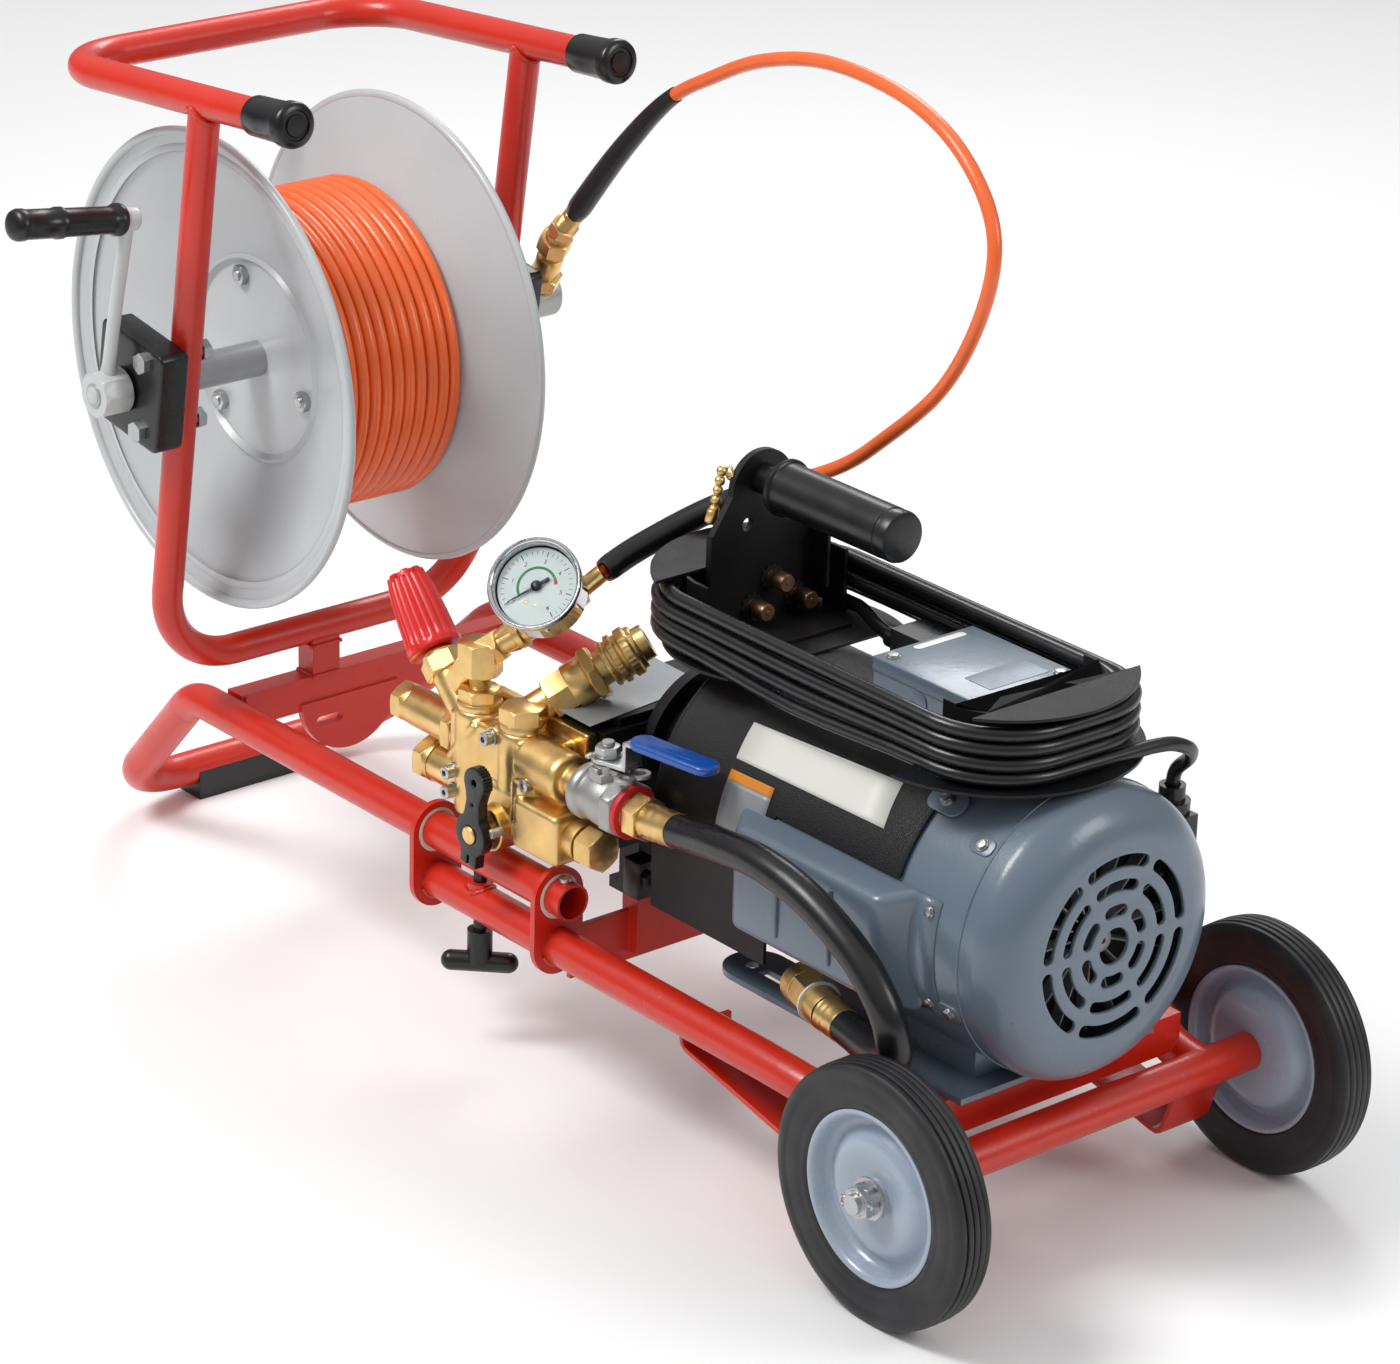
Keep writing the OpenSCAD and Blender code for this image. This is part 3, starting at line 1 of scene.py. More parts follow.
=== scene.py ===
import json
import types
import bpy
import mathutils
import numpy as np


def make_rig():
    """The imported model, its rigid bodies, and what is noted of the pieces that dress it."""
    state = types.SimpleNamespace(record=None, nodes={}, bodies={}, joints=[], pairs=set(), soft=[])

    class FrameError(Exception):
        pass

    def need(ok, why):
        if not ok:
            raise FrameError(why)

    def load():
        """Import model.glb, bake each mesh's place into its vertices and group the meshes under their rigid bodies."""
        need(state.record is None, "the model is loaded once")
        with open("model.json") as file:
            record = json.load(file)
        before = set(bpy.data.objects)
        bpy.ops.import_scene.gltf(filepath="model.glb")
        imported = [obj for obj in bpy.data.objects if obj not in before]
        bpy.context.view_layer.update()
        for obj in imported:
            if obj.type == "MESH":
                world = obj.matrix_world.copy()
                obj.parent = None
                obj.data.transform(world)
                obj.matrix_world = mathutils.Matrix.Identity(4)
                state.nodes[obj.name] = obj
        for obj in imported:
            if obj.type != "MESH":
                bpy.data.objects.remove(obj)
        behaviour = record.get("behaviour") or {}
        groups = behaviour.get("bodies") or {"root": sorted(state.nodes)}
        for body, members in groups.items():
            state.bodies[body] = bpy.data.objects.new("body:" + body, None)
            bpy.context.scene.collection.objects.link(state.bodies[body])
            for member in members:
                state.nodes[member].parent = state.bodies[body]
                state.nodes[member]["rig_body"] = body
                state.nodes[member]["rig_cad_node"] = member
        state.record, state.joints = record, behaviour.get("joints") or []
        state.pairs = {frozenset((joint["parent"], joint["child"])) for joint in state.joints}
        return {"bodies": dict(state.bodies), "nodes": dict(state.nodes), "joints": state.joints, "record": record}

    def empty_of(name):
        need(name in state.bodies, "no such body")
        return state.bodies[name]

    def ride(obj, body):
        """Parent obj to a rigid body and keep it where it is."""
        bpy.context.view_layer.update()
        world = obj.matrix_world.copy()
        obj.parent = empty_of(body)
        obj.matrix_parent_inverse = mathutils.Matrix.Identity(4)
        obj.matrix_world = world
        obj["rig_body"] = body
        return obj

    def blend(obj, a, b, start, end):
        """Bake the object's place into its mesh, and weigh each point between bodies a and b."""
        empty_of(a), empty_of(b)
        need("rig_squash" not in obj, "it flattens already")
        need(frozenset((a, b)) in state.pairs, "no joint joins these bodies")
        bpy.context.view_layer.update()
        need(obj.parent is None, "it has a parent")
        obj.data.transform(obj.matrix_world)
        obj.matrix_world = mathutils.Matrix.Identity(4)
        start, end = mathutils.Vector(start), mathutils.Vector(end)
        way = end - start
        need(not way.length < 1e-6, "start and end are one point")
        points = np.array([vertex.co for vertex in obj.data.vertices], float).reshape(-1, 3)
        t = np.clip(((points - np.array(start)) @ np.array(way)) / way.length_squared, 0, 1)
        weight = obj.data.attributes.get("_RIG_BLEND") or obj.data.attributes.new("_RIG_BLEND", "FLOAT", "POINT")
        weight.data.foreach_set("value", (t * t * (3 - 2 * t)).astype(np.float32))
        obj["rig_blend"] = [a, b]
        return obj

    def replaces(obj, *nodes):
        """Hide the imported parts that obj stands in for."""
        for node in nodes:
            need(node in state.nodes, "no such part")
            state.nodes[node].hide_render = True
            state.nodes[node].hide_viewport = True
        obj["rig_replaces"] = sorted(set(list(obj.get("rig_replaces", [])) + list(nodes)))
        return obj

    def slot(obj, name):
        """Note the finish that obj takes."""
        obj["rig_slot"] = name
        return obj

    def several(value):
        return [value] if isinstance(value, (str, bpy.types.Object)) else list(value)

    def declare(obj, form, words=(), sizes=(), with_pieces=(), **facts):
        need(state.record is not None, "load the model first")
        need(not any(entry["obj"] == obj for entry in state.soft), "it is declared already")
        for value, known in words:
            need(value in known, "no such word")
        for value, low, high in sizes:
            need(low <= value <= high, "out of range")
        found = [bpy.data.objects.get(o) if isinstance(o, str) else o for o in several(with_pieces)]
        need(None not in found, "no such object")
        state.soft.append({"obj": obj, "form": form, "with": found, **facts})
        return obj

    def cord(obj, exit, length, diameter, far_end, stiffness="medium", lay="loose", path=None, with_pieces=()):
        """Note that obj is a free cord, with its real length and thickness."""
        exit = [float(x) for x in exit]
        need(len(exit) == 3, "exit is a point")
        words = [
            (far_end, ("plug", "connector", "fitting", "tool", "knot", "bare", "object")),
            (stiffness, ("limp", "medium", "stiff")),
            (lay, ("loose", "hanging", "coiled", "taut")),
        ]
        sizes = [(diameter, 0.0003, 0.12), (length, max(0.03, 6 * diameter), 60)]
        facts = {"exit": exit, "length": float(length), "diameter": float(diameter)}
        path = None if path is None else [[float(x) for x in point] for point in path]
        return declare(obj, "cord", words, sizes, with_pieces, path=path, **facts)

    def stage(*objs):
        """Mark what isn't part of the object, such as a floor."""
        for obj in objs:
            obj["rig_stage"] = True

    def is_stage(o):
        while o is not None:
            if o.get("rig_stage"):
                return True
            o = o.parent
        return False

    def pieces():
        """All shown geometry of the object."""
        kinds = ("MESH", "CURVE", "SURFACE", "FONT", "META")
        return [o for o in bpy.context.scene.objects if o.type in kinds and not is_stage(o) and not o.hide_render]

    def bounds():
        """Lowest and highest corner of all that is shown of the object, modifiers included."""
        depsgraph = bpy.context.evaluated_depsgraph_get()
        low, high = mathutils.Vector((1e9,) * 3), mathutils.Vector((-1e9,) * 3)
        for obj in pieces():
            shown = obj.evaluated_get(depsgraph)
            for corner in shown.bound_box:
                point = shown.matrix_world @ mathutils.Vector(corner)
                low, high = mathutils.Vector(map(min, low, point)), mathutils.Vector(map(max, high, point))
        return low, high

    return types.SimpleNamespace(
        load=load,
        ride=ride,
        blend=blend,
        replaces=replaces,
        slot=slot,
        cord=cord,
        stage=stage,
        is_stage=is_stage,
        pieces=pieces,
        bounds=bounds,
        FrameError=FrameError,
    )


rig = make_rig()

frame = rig.load()

import json
from math import cos, degrees, pi, radians, sin, sqrt

import bmesh
import bpy
from mathutils import Matrix, Vector

cad_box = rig.bounds()
NODES = frame["nodes"]
V = Vector
MM = 0.001
scene = bpy.context.scene
SLOTS = [m["slot"] for m in frame["record"]["materials"]]

# places in mm that several pieces share
WHEEL_X, WHEEL_Y, WHEEL_Z = 886, 162.5, 84      # the axle, and how far out each wheel's middle is
TUBE_Y, TUBE_Z = 134, 105.4                     # the cart's side tubes
REEL_X, REEL_Z = 170, 400                       # the reel's axis
FLANGES = ((-151.7, 1), (8.5, -1))              # rim of each flange and the way its dish points
STANDS = (-185.6, 78.5)                         # the stand's near and far upright
BLOCK_Y = (STANDS[0] - 32.8, STANDS[1] + 10.8)  # where each bearing block starts
UNIT_Y, UNIT_Z = -10, 215                       # the motor's axis
LINE_Y, LINE_Z = -128, 222                      # the inlet valve's axis


# ---------- camera ----------

def make_camera():
    """the photograph's camera, solved from the wheels, the reel's flanges and the tubes."""
    azimuth, elevation, roll = (radians(a) for a in (49.177, 22.280, 1.7115))
    place, lens, shift = V((2.7861, -1.93466, 1.49331)), 126.504, (-0.02356, -0.02078)
    back = V((sin(azimuth) * cos(elevation), -cos(azimuth) * cos(elevation), sin(elevation)))
    right = V((cos(azimuth), sin(azimuth), 0))
    up = back.cross(right)
    data = bpy.data.cameras.new("camera")
    data.sensor_fit = "HORIZONTAL"
    data.sensor_width = 36
    data.lens = lens
    data.shift_x, data.shift_y = shift
    data.clip_end = 50
    cam = bpy.data.objects.new("camera", data)
    m = Matrix((right * cos(roll) + up * sin(roll), up * cos(roll) - right * sin(roll), back))
    m = m.transposed().to_4x4()
    m.translation = place
    cam.matrix_world = m
    scene.collection.objects.link(cam)
    scene.camera = cam


make_camera()


# ---------- materials ----------

def linear(c):
    """an sRGB colour of 0 to 255 as Blender's linear one."""
    return [((x / 255 + 0.055) / 1.055) ** 2.4 if x > 10 else x / 255 / 12.92 for x in c] + [1]


class Graph:
    """A node tree of one material, with short calls to add and join nodes."""

    def __init__(self, name):
        self.mat = bpy.data.materials.new(name)
        self.mat.use_nodes = True
        self.tree = self.mat.node_tree
        self.shader = self.tree.nodes["Principled BSDF"]
        self.coords = self.add("TexCoord").outputs["Object"]

    def add(self, kind, **values):
        node = self.tree.nodes.new("ShaderNode" + kind)
        for k, v in values.items():
            if k in node.inputs:
                node.inputs[k].default_value = v
            else:
                setattr(node, k.lower(), v)
        return node

    def join(self, a, b):
        self.tree.links.new(a, b)

    def noise(self, scale, detail, stretch=None):
        node = self.add("TexNoise", Scale=scale, Detail=detail)
        source = self.coords
        if stretch:
            m = self.add("Mapping", Scale=stretch)
            self.join(source, m.inputs["Vector"])
            source = m.outputs["Vector"]
        self.join(source, node.inputs["Vector"])
        return node.outputs["Fac"]

    def ramp(self, fac, stops):
        node = self.add("ValToRGB")
        e = node.color_ramp.elements
        while len(e) < len(stops):
            e.new(0.5)
        for i, (p, c) in enumerate(stops):
            e[i].position = p
            e[i].color = c if len(c) == 4 else list(c) + [1]
        self.join(fac, node.inputs["Fac"])
        return node.outputs["Color"]

    def range(self, fac, a, b, lo=0.3, hi=0.7):
        node = self.add("MapRange")
        for k, v in (("From Min", lo), ("From Max", hi), ("To Min", a), ("To Max", b)):
            node.inputs[k].default_value = v
        self.join(fac, node.inputs["Value"])
        return node.outputs["Result"]

    def bump(self, height, strength, distance, below):
        node = self.add("Bump", Strength=strength, Distance=distance)
        self.join(height, node.inputs["Height"])
        if below:
            self.join(below, node.inputs["Normal"])
        return node.outputs["Normal"]

    def mix(self, fac, a, b):
        node = self.add("Mix", data_type="RGBA")
        self.join(fac, node.inputs[0])
        for socket, c in ((node.inputs[6], a), (node.inputs[7], b)):
            if isinstance(c, (list, tuple)):
                socket.default_value = c
            else:
                self.join(c, socket)
        return node.outputs[2]


def shade(c, k):
    """a colour made k times as bright."""
    return [min(1, x * k) for x in c[:3]] + [1]


def material(name, rgb, rough=0.4, metal=0.0, coat=0.0, coat_rough=0.08, vary=0.06, vary_scale=14,
             rough_vary=0.06, grain=0.0, grain_scale=900, grain_depth=0.0003, wave=0.0,
             wave_scale=120, edge=0.0006, speck=0.0, stretch=None, spec=0.5, dust=0.0):
    """one procedural look: uneven colour and roughness, soft edges, orange peel (wave) and grain."""
    g = Graph(name)
    c = linear(rgb)
    s = g.shader.inputs
    color = g.ramp(g.noise(vary_scale, 4), [(0.3, shade(c, 1 - vary)), (0.7, shade(c, 1 + vary))])
    if speck:
        spots = g.ramp(g.noise(420, 2), [(0.68, (0, 0, 0)), (0.72, (1, 1, 1))])
        color = g.mix(spots, color, shade(c, 1 - speck))
    if dust:
        patches = g.range(g.noise(30, 5), 0, dust, 0.45, 0.75)
        color = g.mix(patches, color, linear((150, 146, 140)))
    g.join(color, s["Base Color"])
    g.join(g.range(g.noise(35, 4, stretch), max(0.02, rough - rough_vary), rough + rough_vary),
           s["Roughness"])
    s["Metallic"].default_value = metal
    s["Coat Weight"].default_value = coat
    s["Coat Roughness"].default_value = coat_rough
    s["Specular IOR Level"].default_value = spec
    normal = None
    if edge:
        b = g.add("Bevel", samples=4)
        b.inputs["Radius"].default_value = edge
        normal = b.outputs["Normal"]
    if wave:
        normal = g.bump(g.noise(wave_scale, 2), wave, 0.0006, normal)
    if grain:
        normal = g.bump(g.noise(grain_scale, 3, stretch), grain, grain_depth, normal)
    if normal:
        g.join(normal, s["Normal"])
        if coat:
            g.join(normal, s["Coat Normal"])
    return g.mat


# vary: unevenness of colour; wave: orange peel; edge: softened edges in metres; the rest by name
LOOKS = {
    "red_paint": dict(rgb=(202, 37, 14), rough=0.36, coat=0.25, coat_rough=0.2, vary=0.05, wave=0.25,
        wave_scale=260, grain=0.08, grain_scale=1500),
    "bush_nylon": dict(rgb=(228, 226, 216), rough=0.5, vary=0.04, grain=0.1),
    "zinc_steel": dict(rgb=(186, 188, 188), rough=0.34, metal=1.0, vary=0.14, vary_scale=60, grain=0.15,
        rough_vary=0.12),
    "black_handle": dict(rgb=(16, 16, 19), rough=0.3, vary=0.15, grain=0.12),
    "shaft_steel": dict(rgb=(176, 177, 180), rough=0.4, metal=0.6, vary=0.08, grain=0.1),
    "flange_paint": dict(rgb=(186, 190, 192), rough=0.34, coat=0.35, coat_rough=0.2, vary=0.04,
        speck=0.1, wave=0.14, wave_scale=150, grain=0.06),
    "wheel_paint": dict(rgb=(156, 168, 184), rough=0.3, coat=0.5, coat_rough=0.12, vary=0.05, wave=0.12,
        wave_scale=200, dust=0.08),
    "tyre_rubber": dict(rgb=(24, 23, 27), rough=0.48, vary=0.2, vary_scale=40, grain=0.35,
        grain_scale=1400, dust=0.05, rough_vary=0.1),
    "black_rubber": dict(rgb=(15, 15, 18), rough=0.3, vary=0.15, grain=0.1, wave=0.1),
    "hose_orange": dict(rgb=(236, 104, 44), rough=0.34, coat=0.25, coat_rough=0.15, vary=0.06,
        vary_scale=40, wave=0.15, wave_scale=240),
    "crank_paint": dict(rgb=(188, 191, 190), rough=0.35, coat=0.2, vary=0.04, wave=0.2),
    "grey_blue_paint": dict(rgb=(98, 112, 126), rough=0.33, coat=0.35, coat_rough=0.16, vary=0.04,
        wave=0.22, wave_scale=300, grain=0.08),
    "black_wrinkle": dict(rgb=(17, 17, 20), rough=0.36, vary=0.2, grain=0.9, grain_scale=1500,
        grain_depth=0.0005, rough_vary=0.08, spec=0.32),
    "brass": dict(rgb=(226, 190, 126), rough=0.35, metal=1.0, vary=0.12, vary_scale=55, rough_vary=0.1,
        wave=0.3, wave_scale=150, grain=0.22, grain_scale=1300),
    "nickel": dict(rgb=(172, 171, 168), rough=0.44, metal=0.85, vary=0.08, wave=0.25, grain=0.25,
        grain_scale=1300),
    "knob_red": dict(rgb=(214, 22, 20), rough=0.32, coat=0.2, vary=0.05, grain=0.08),
    "chrome": dict(rgb=(206, 207, 211), rough=0.1, metal=1.0, vary=0.03, rough_vary=0.04, edge=0.0004),
    "dial_white": dict(rgb=(238, 238, 232), rough=0.5, vary=0.02, edge=0),
    "needle_black": dict(rgb=(18, 18, 19), rough=0.4, vary=0.1, grain=0.05, edge=0),
    "lever_blue": dict(rgb=(14, 76, 160), rough=0.3, coat=0.3, vary=0.06, wave=0.25),
    "dial_glass": dict(rgb=(240, 246, 248), rough=0.03, vary=0.01, rough_vary=0.01, edge=0),
    "brass_dark": dict(rgb=(150, 116, 88), rough=0.42, metal=1.0, vary=0.25, vary_scale=90, grain=0.3,
        rough_vary=0.12),
    "label_white": dict(rgb=(218, 218, 210), rough=0.42, vary=0.03, edge=0, speck=0.04),
    "label_silver": dict(rgb=(150, 154, 158), rough=0.42, metal=0.3, vary=0.05, edge=0, grain=0.1,
        stretch=(1, 30, 1)),
    "label_amber": dict(rgb=(214, 132, 38), rough=0.42, vary=0.05, edge=0),
    "tag_grey": dict(rgb=(120, 130, 140), rough=0.4, metal=0.2, vary=0.1, vary_scale=400, edge=0),
    "print_black": dict(rgb=(30, 30, 32), rough=0.5, vary=0.1, edge=0),
    "print_green": dict(rgb=(28, 132, 74), rough=0.5, vary=0.05, edge=0),
    "print_red": dict(rgb=(202, 38, 40), rough=0.5, vary=0.05, edge=0),
    # near-black: painted shade in the motor behind the fan and in the shaft's centre hole, and the black of the
    # nozzles' toothed washers
    "dark_gap": dict(rgb=(10, 10, 12), rough=0.7, vary=0.1, edge=0),
}
M = {name: material(name, **look) for name, look in LOOKS.items()}
glass = M["dial_glass"].node_tree.nodes["Principled BSDF"].inputs
glass["Transmission Weight"].default_value = 1
glass["IOR"].default_value = 1.05
for part in frame["record"]["subparts"]:
    o = NODES[part["node"]]
    o.data.materials.clear()
    o.data.materials.append(M[part["material_slot"]])
    for p in o.data.polygons:
        p.use_smooth = True
    o.data.set_sharp_from_angle(angle=radians(32))


# ---------- mesh tools, in millimetres ----------

ON_AXIS = 0.1          # a radius up to this counts as on the axis


class Piece:
    """Vertices and faces of one piece, gathered shape by shape."""

    def __init__(self):
        self.v, self.f, self.m = [], [], []

    def add(self, verts, faces, mat=0):
        n = len(self.v)
        self.v += [V(p) for p in verts]
        self.f += [[n + i for i in f] for f in faces]
        self.m += [mat] * len(faces)

    def turned(self, profile, at, axis, seg=72, mat=0, ring=None, flute=None):
        """profile: (radius, height) points turned about axis through at. It closes to a ring, if it
        doesn't start on the axis."""
        q = V((0, 0, 1)).rotation_difference(V(axis).normalized()).to_matrix()
        at, n, verts = V(at), len(profile), []
        ring = profile[0][0] > ON_AXIS if ring is None else ring
        for r, h in profile:
            for k in range(seg):
                a = 2 * pi * k / seg
                rr = r if flute is None else flute(r, h, a)
                verts.append(at + q @ V((rr * cos(a), rr * sin(a), h)))
        faces = [[i * seg + k, i * seg + (k + 1) % seg, ((i + 1) % n) * seg + (k + 1) % seg,
                  ((i + 1) % n) * seg + k] for i in range(n if ring else n - 1) for k in range(seg)]
        self.add(verts, faces, mat)

    def washer(self, r0, r1, h, at, axis, seg, mat=0, flute=None):
        """a flat ring, or a disc when r0 is on the axis."""
        self.turned([(r0, 0), (r1, 0), (r1, h), (r0, h)], at, axis, seg, mat, flute=flute)

    def bar(self, profile, p, q, seg=48, flute=None):
        """profile: (radius, mm from p towards q), closed by flat ends."""
        p, q = V(p), V(q)
        pts = [(0.01, profile[0][1])] + list(profile) + [(0.01, profile[-1][1])]
        self.turned(pts, p, q - p, seg, flute=flute)

    def pin(self, p, q, r, h, seg=48):
        """a plain cylinder of radius r and length h from p towards q."""
        self.bar([(r, 0), (r, h)], p, q, seg)

    def rod(self, p, q, d, bevel=0.4):
        """a round bar of diameter d with small chamfers."""
        h, r = (V(q) - V(p)).length, d / 2
        self.bar([(r - bevel, 0), (r, bevel), (r, h - bevel), (r - bevel, h)], p, q, 40)

    def hexbar(self, p, q, flats, chamfer=0.5):
        """a hexagon of that width over its flats, with its corners turned off at both ends."""
        h, r0, r1 = (V(q) - V(p)).length, flats / 2 * 0.98, flats / 2 / cos(radians(30))

        def hexagon(r, z, a):
            return min(flats / 2 / cos(radians(degrees(a) % 60 - 30)), r)
        low = [(r0 + (r1 - r0) * t, t * (r1 - r0) * chamfer) for t in (0, 0.2, 0.45, 0.75, 1.0)]
        self.bar(low + [(r, h - z) for r, z in reversed(low)], p, q, 72, flute=hexagon)

    def thread(self, p, q, d, pitch=1.4):
        """a screw thread, as rings."""
        h, r, pts, z = (V(q) - V(p)).length, d / 2, [], 0
        while z < h - pitch:
            pts += [(r - pitch * 0.45, z), (r, z + pitch * 0.4), (r, z + pitch * 0.55)]
            z += pitch
        self.bar([(r - pitch * 0.5, 0)] + pts + [(r - pitch * 0.5, h)], p, q, 40)

    def swept(self, points, radius, sides, side=(0, 0, 1)):
        """a tube along points; radius is a number or one for each point."""
        pts, n = [V(p) for p in points], len(points)
        rad = radius if isinstance(radius, (list, tuple)) else [radius] * n
        s, verts = V(side), []
        for i, p in enumerate(pts):
            t = (pts[min(i + 1, n - 1)] - pts[max(i - 1, 0)]).normalized()
            s = (s - t * s.dot(t)).normalized()
            b = t.cross(s)
            verts += [p + (s * cos(2 * pi * k / sides)
                           + b * sin(2 * pi * k / sides)) * rad[i] for k in range(sides)]
        faces = [[i * sides + k, i * sides + (k + 1) % sides, (i + 1) * sides + (k + 1) % sides,
                  (i + 1) * sides + k] for i in range(n - 1) for k in range(sides)]
        faces += [list(range(sides))[::-1], [(n - 1) * sides + k for k in range(sides)]]
        self.add(verts, faces)

    def mesh(self, other, matrix=None):
        """all of a bmesh, which is then freed."""
        m = matrix or Matrix()
        self.add([m @ v.co for v in other.verts], [[v.index for v in f.verts] for f in other.faces])
        other.free()

    def box(self, a, b, r, matrix=None):
        """a box from corner a to corner b with edges rounded to r."""
        a, b = V(a), V(b)
        bm = bmesh.new()
        bmesh.ops.create_cube(bm, size=1)
        size, mid = b - a, (a + b) / 2
        for v in bm.verts:
            v.co = V(x * y for x, y in zip(v.co, size)) + mid
        if r:
            bmesh.ops.bevel(bm, geom=bm.edges[:], offset=min(r, min(size) * 0.45), segments=3,
                            profile=0.5, affect="EDGES")
        bm.verts.index_update()
        self.mesh(bm, matrix)

    def curve(self, c, matrix):
        """the mesh of a Blender curve, which is then deleted."""
        o = bpy.data.objects.new("tmp", c)
        me = bpy.data.meshes.new_from_object(o)
        bm = bmesh.new()
        bm.from_mesh(me)
        bm.verts.index_update()
        self.mesh(bm, matrix)
        bpy.data.objects.remove(o)
        bpy.data.curves.remove(c)
        bpy.data.meshes.remove(me)

    def plate(self, outlines, t, matrix, r):
        """outlines: closed 2D loops (first outside, then holes), thickness t along +z."""
        c = bpy.data.curves.new("tmp", "CURVE")
        c.dimensions, c.fill_mode = "2D", "BOTH"
        for loop in outlines:
            s = c.splines.new("POLY")
            s.points.add(len(loop) - 1)
            for pt, (x, y) in zip(s.points, loop):
                pt.co = (x, y, 0, 1)
            s.use_cyclic_u = True
        c.extrude, c.bevel_depth, c.bevel_resolution = max(0, t / 2 - r), r, 2
        c.offset = -r
        self.curve(c, matrix @ Matrix.Translation((0, 0, t / 2)))

    def done(self, name, mats, *nodes, body="chassis", smooth=34, slot=None):
        """makes the object, which rides a body and may stand for CAD nodes."""
        me = bpy.data.meshes.new(name)
        me.from_pydata([v * MM for v in self.v], [], self.f)
        bm = bmesh.new()
        bm.from_mesh(me)
        for f, k in zip(bm.faces, self.m):
            f.material_index = k
        bmesh.ops.remove_doubles(bm, verts=bm.verts, dist=2e-6)
        bmesh.ops.recalc_face_normals(bm, faces=bm.faces)
        bm.to_mesh(me)
        bm.free()
        mats = [mats] if isinstance(mats, str) else mats
        for k in mats:
            me.materials.append(M[k])
        for p in me.polygons:
            p.use_smooth = True
        me.set_sharp_from_angle(angle=radians(smooth))
        o = bpy.data.objects.new(name, me)
        scene.collection.objects.link(o)
        if body:
            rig.ride(o, body)
        if nodes:
            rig.replaces(o, *nodes)
        known = slot or (mats[0] if mats[0] in SLOTS else None)
        if known:
            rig.slot(o, known)
        return o


def circle(x, y, r, n=40, start=0, stop=360):
    """n points of a whole circle, or of an arc with both its ends, in degrees."""
    steps = n if abs(stop - start) >= 360 else n - 1
    turns = [radians(start + (stop - start) * i / steps) for i in range(n)]
    return [(x + r * cos(a), y + r * sin(a)) for a in turns]


def around(p, r, n, x=(1, 0, 0), y=(0, 1, 0), start=0, stop=360):
    """n + 1 points on a circle round p in the plane of x and y."""
    return [V(p) + V(x) * (r * cos(radians(start + (stop - start) * k / n)))
            + V(y) * (r * sin(radians(start + (stop - start) * k / n))) for k in range(n + 1)]


def rounded(x0, y0, x1, y1, r, n=8):
    """the outline of a rectangle with round corners."""
    return (circle(x1 - r, y1 - r, r, n, 0, 90) + circle(x0 + r, y1 - r, r, n, 90, 180)
            + circle(x0 + r, y0 + r, r, n, 180, 270) + circle(x1 - r, y0 + r, r, n, 270, 360))


def frame_at(at, z, x):
    """a matrix at a point, with local z and x along the given directions."""
    z = V(z).normalized()
    x = (V(x) - z * V(x).dot(z)).normalized()
    m = Matrix((x, z.cross(x), z)).transposed().to_4x4()
    m.translation = V(at)
    return m


def route(points, n):
    """a smooth curve through points, with n steps between each two."""
    p = [V(q) for q in points]
    out = []
    for i in range(len(p) - 1):
        a, b, c, e = p[max(i - 1, 0)], p[i], p[i + 1], p[min(i + 2, len(p) - 1)]
        for k in range(n):
            t = k / n
            out.append(b + 0.5 * t * ((c - a) + t * ((2 * a - 5 * b + 4 * c - e)
                                                     + t * (3 * b - a - 3 * c + e))))
    return out + [p[-1]]


def metres(points):
    """points in mm as lists in metres."""
    return [[c * MM for c in p] for p in points]


def length(points):
    """the length in metres of a line through points in mm."""
    return sum((V(b) - V(a)).length for a, b in zip(points, points[1:])) * MM


# ---------- hoses and the power cord ----------

LEADER = [(498.1, -69.7, 338.7), (500, -40, 350), (516, 4, 370), (541, 40, 386), (585, 54, 410),
          (625, 53, 440), (675, 51, 485), (703, 52, 530), (715, 55, 576), (704, 60, 609),
          (671, 65, 638), (625, 72, 654), (569, 80, 659), (508, 88, 655), (446, 95, 639),
          (392, 101, 615), (342, 105, 587), (290, 108, 539), (238.6, 110, 480.7)]
INLET = [(620, -128, 222), (660, -131, 228), (700, -136, 236), (740, -139, 240),
         (785, -140, 233), (829, -140, 213), (855, -140, 190), (862, -137, 168),
         (856, -131, 152), (832, -121, 142), (800, -112, 140), (770, -106, 140)]
CORD_D, CORD_STEP = 9.2, 9.7
WRAP_X0, WRAP_X1, WRAP_HALF, WRAP_CORNER = 550, 865, 60, 40     # the wrap's wall, seen from above
CORD_Z0 = 315.3 + CORD_D / 2                                    # the lowest turn, on the wrap's floor


def side_of(quarter):
    """+1 on the straight along the far side, -1 along the near side, 0 at the ends."""
    return (1, 0, -1, 0)[quarter % 4]


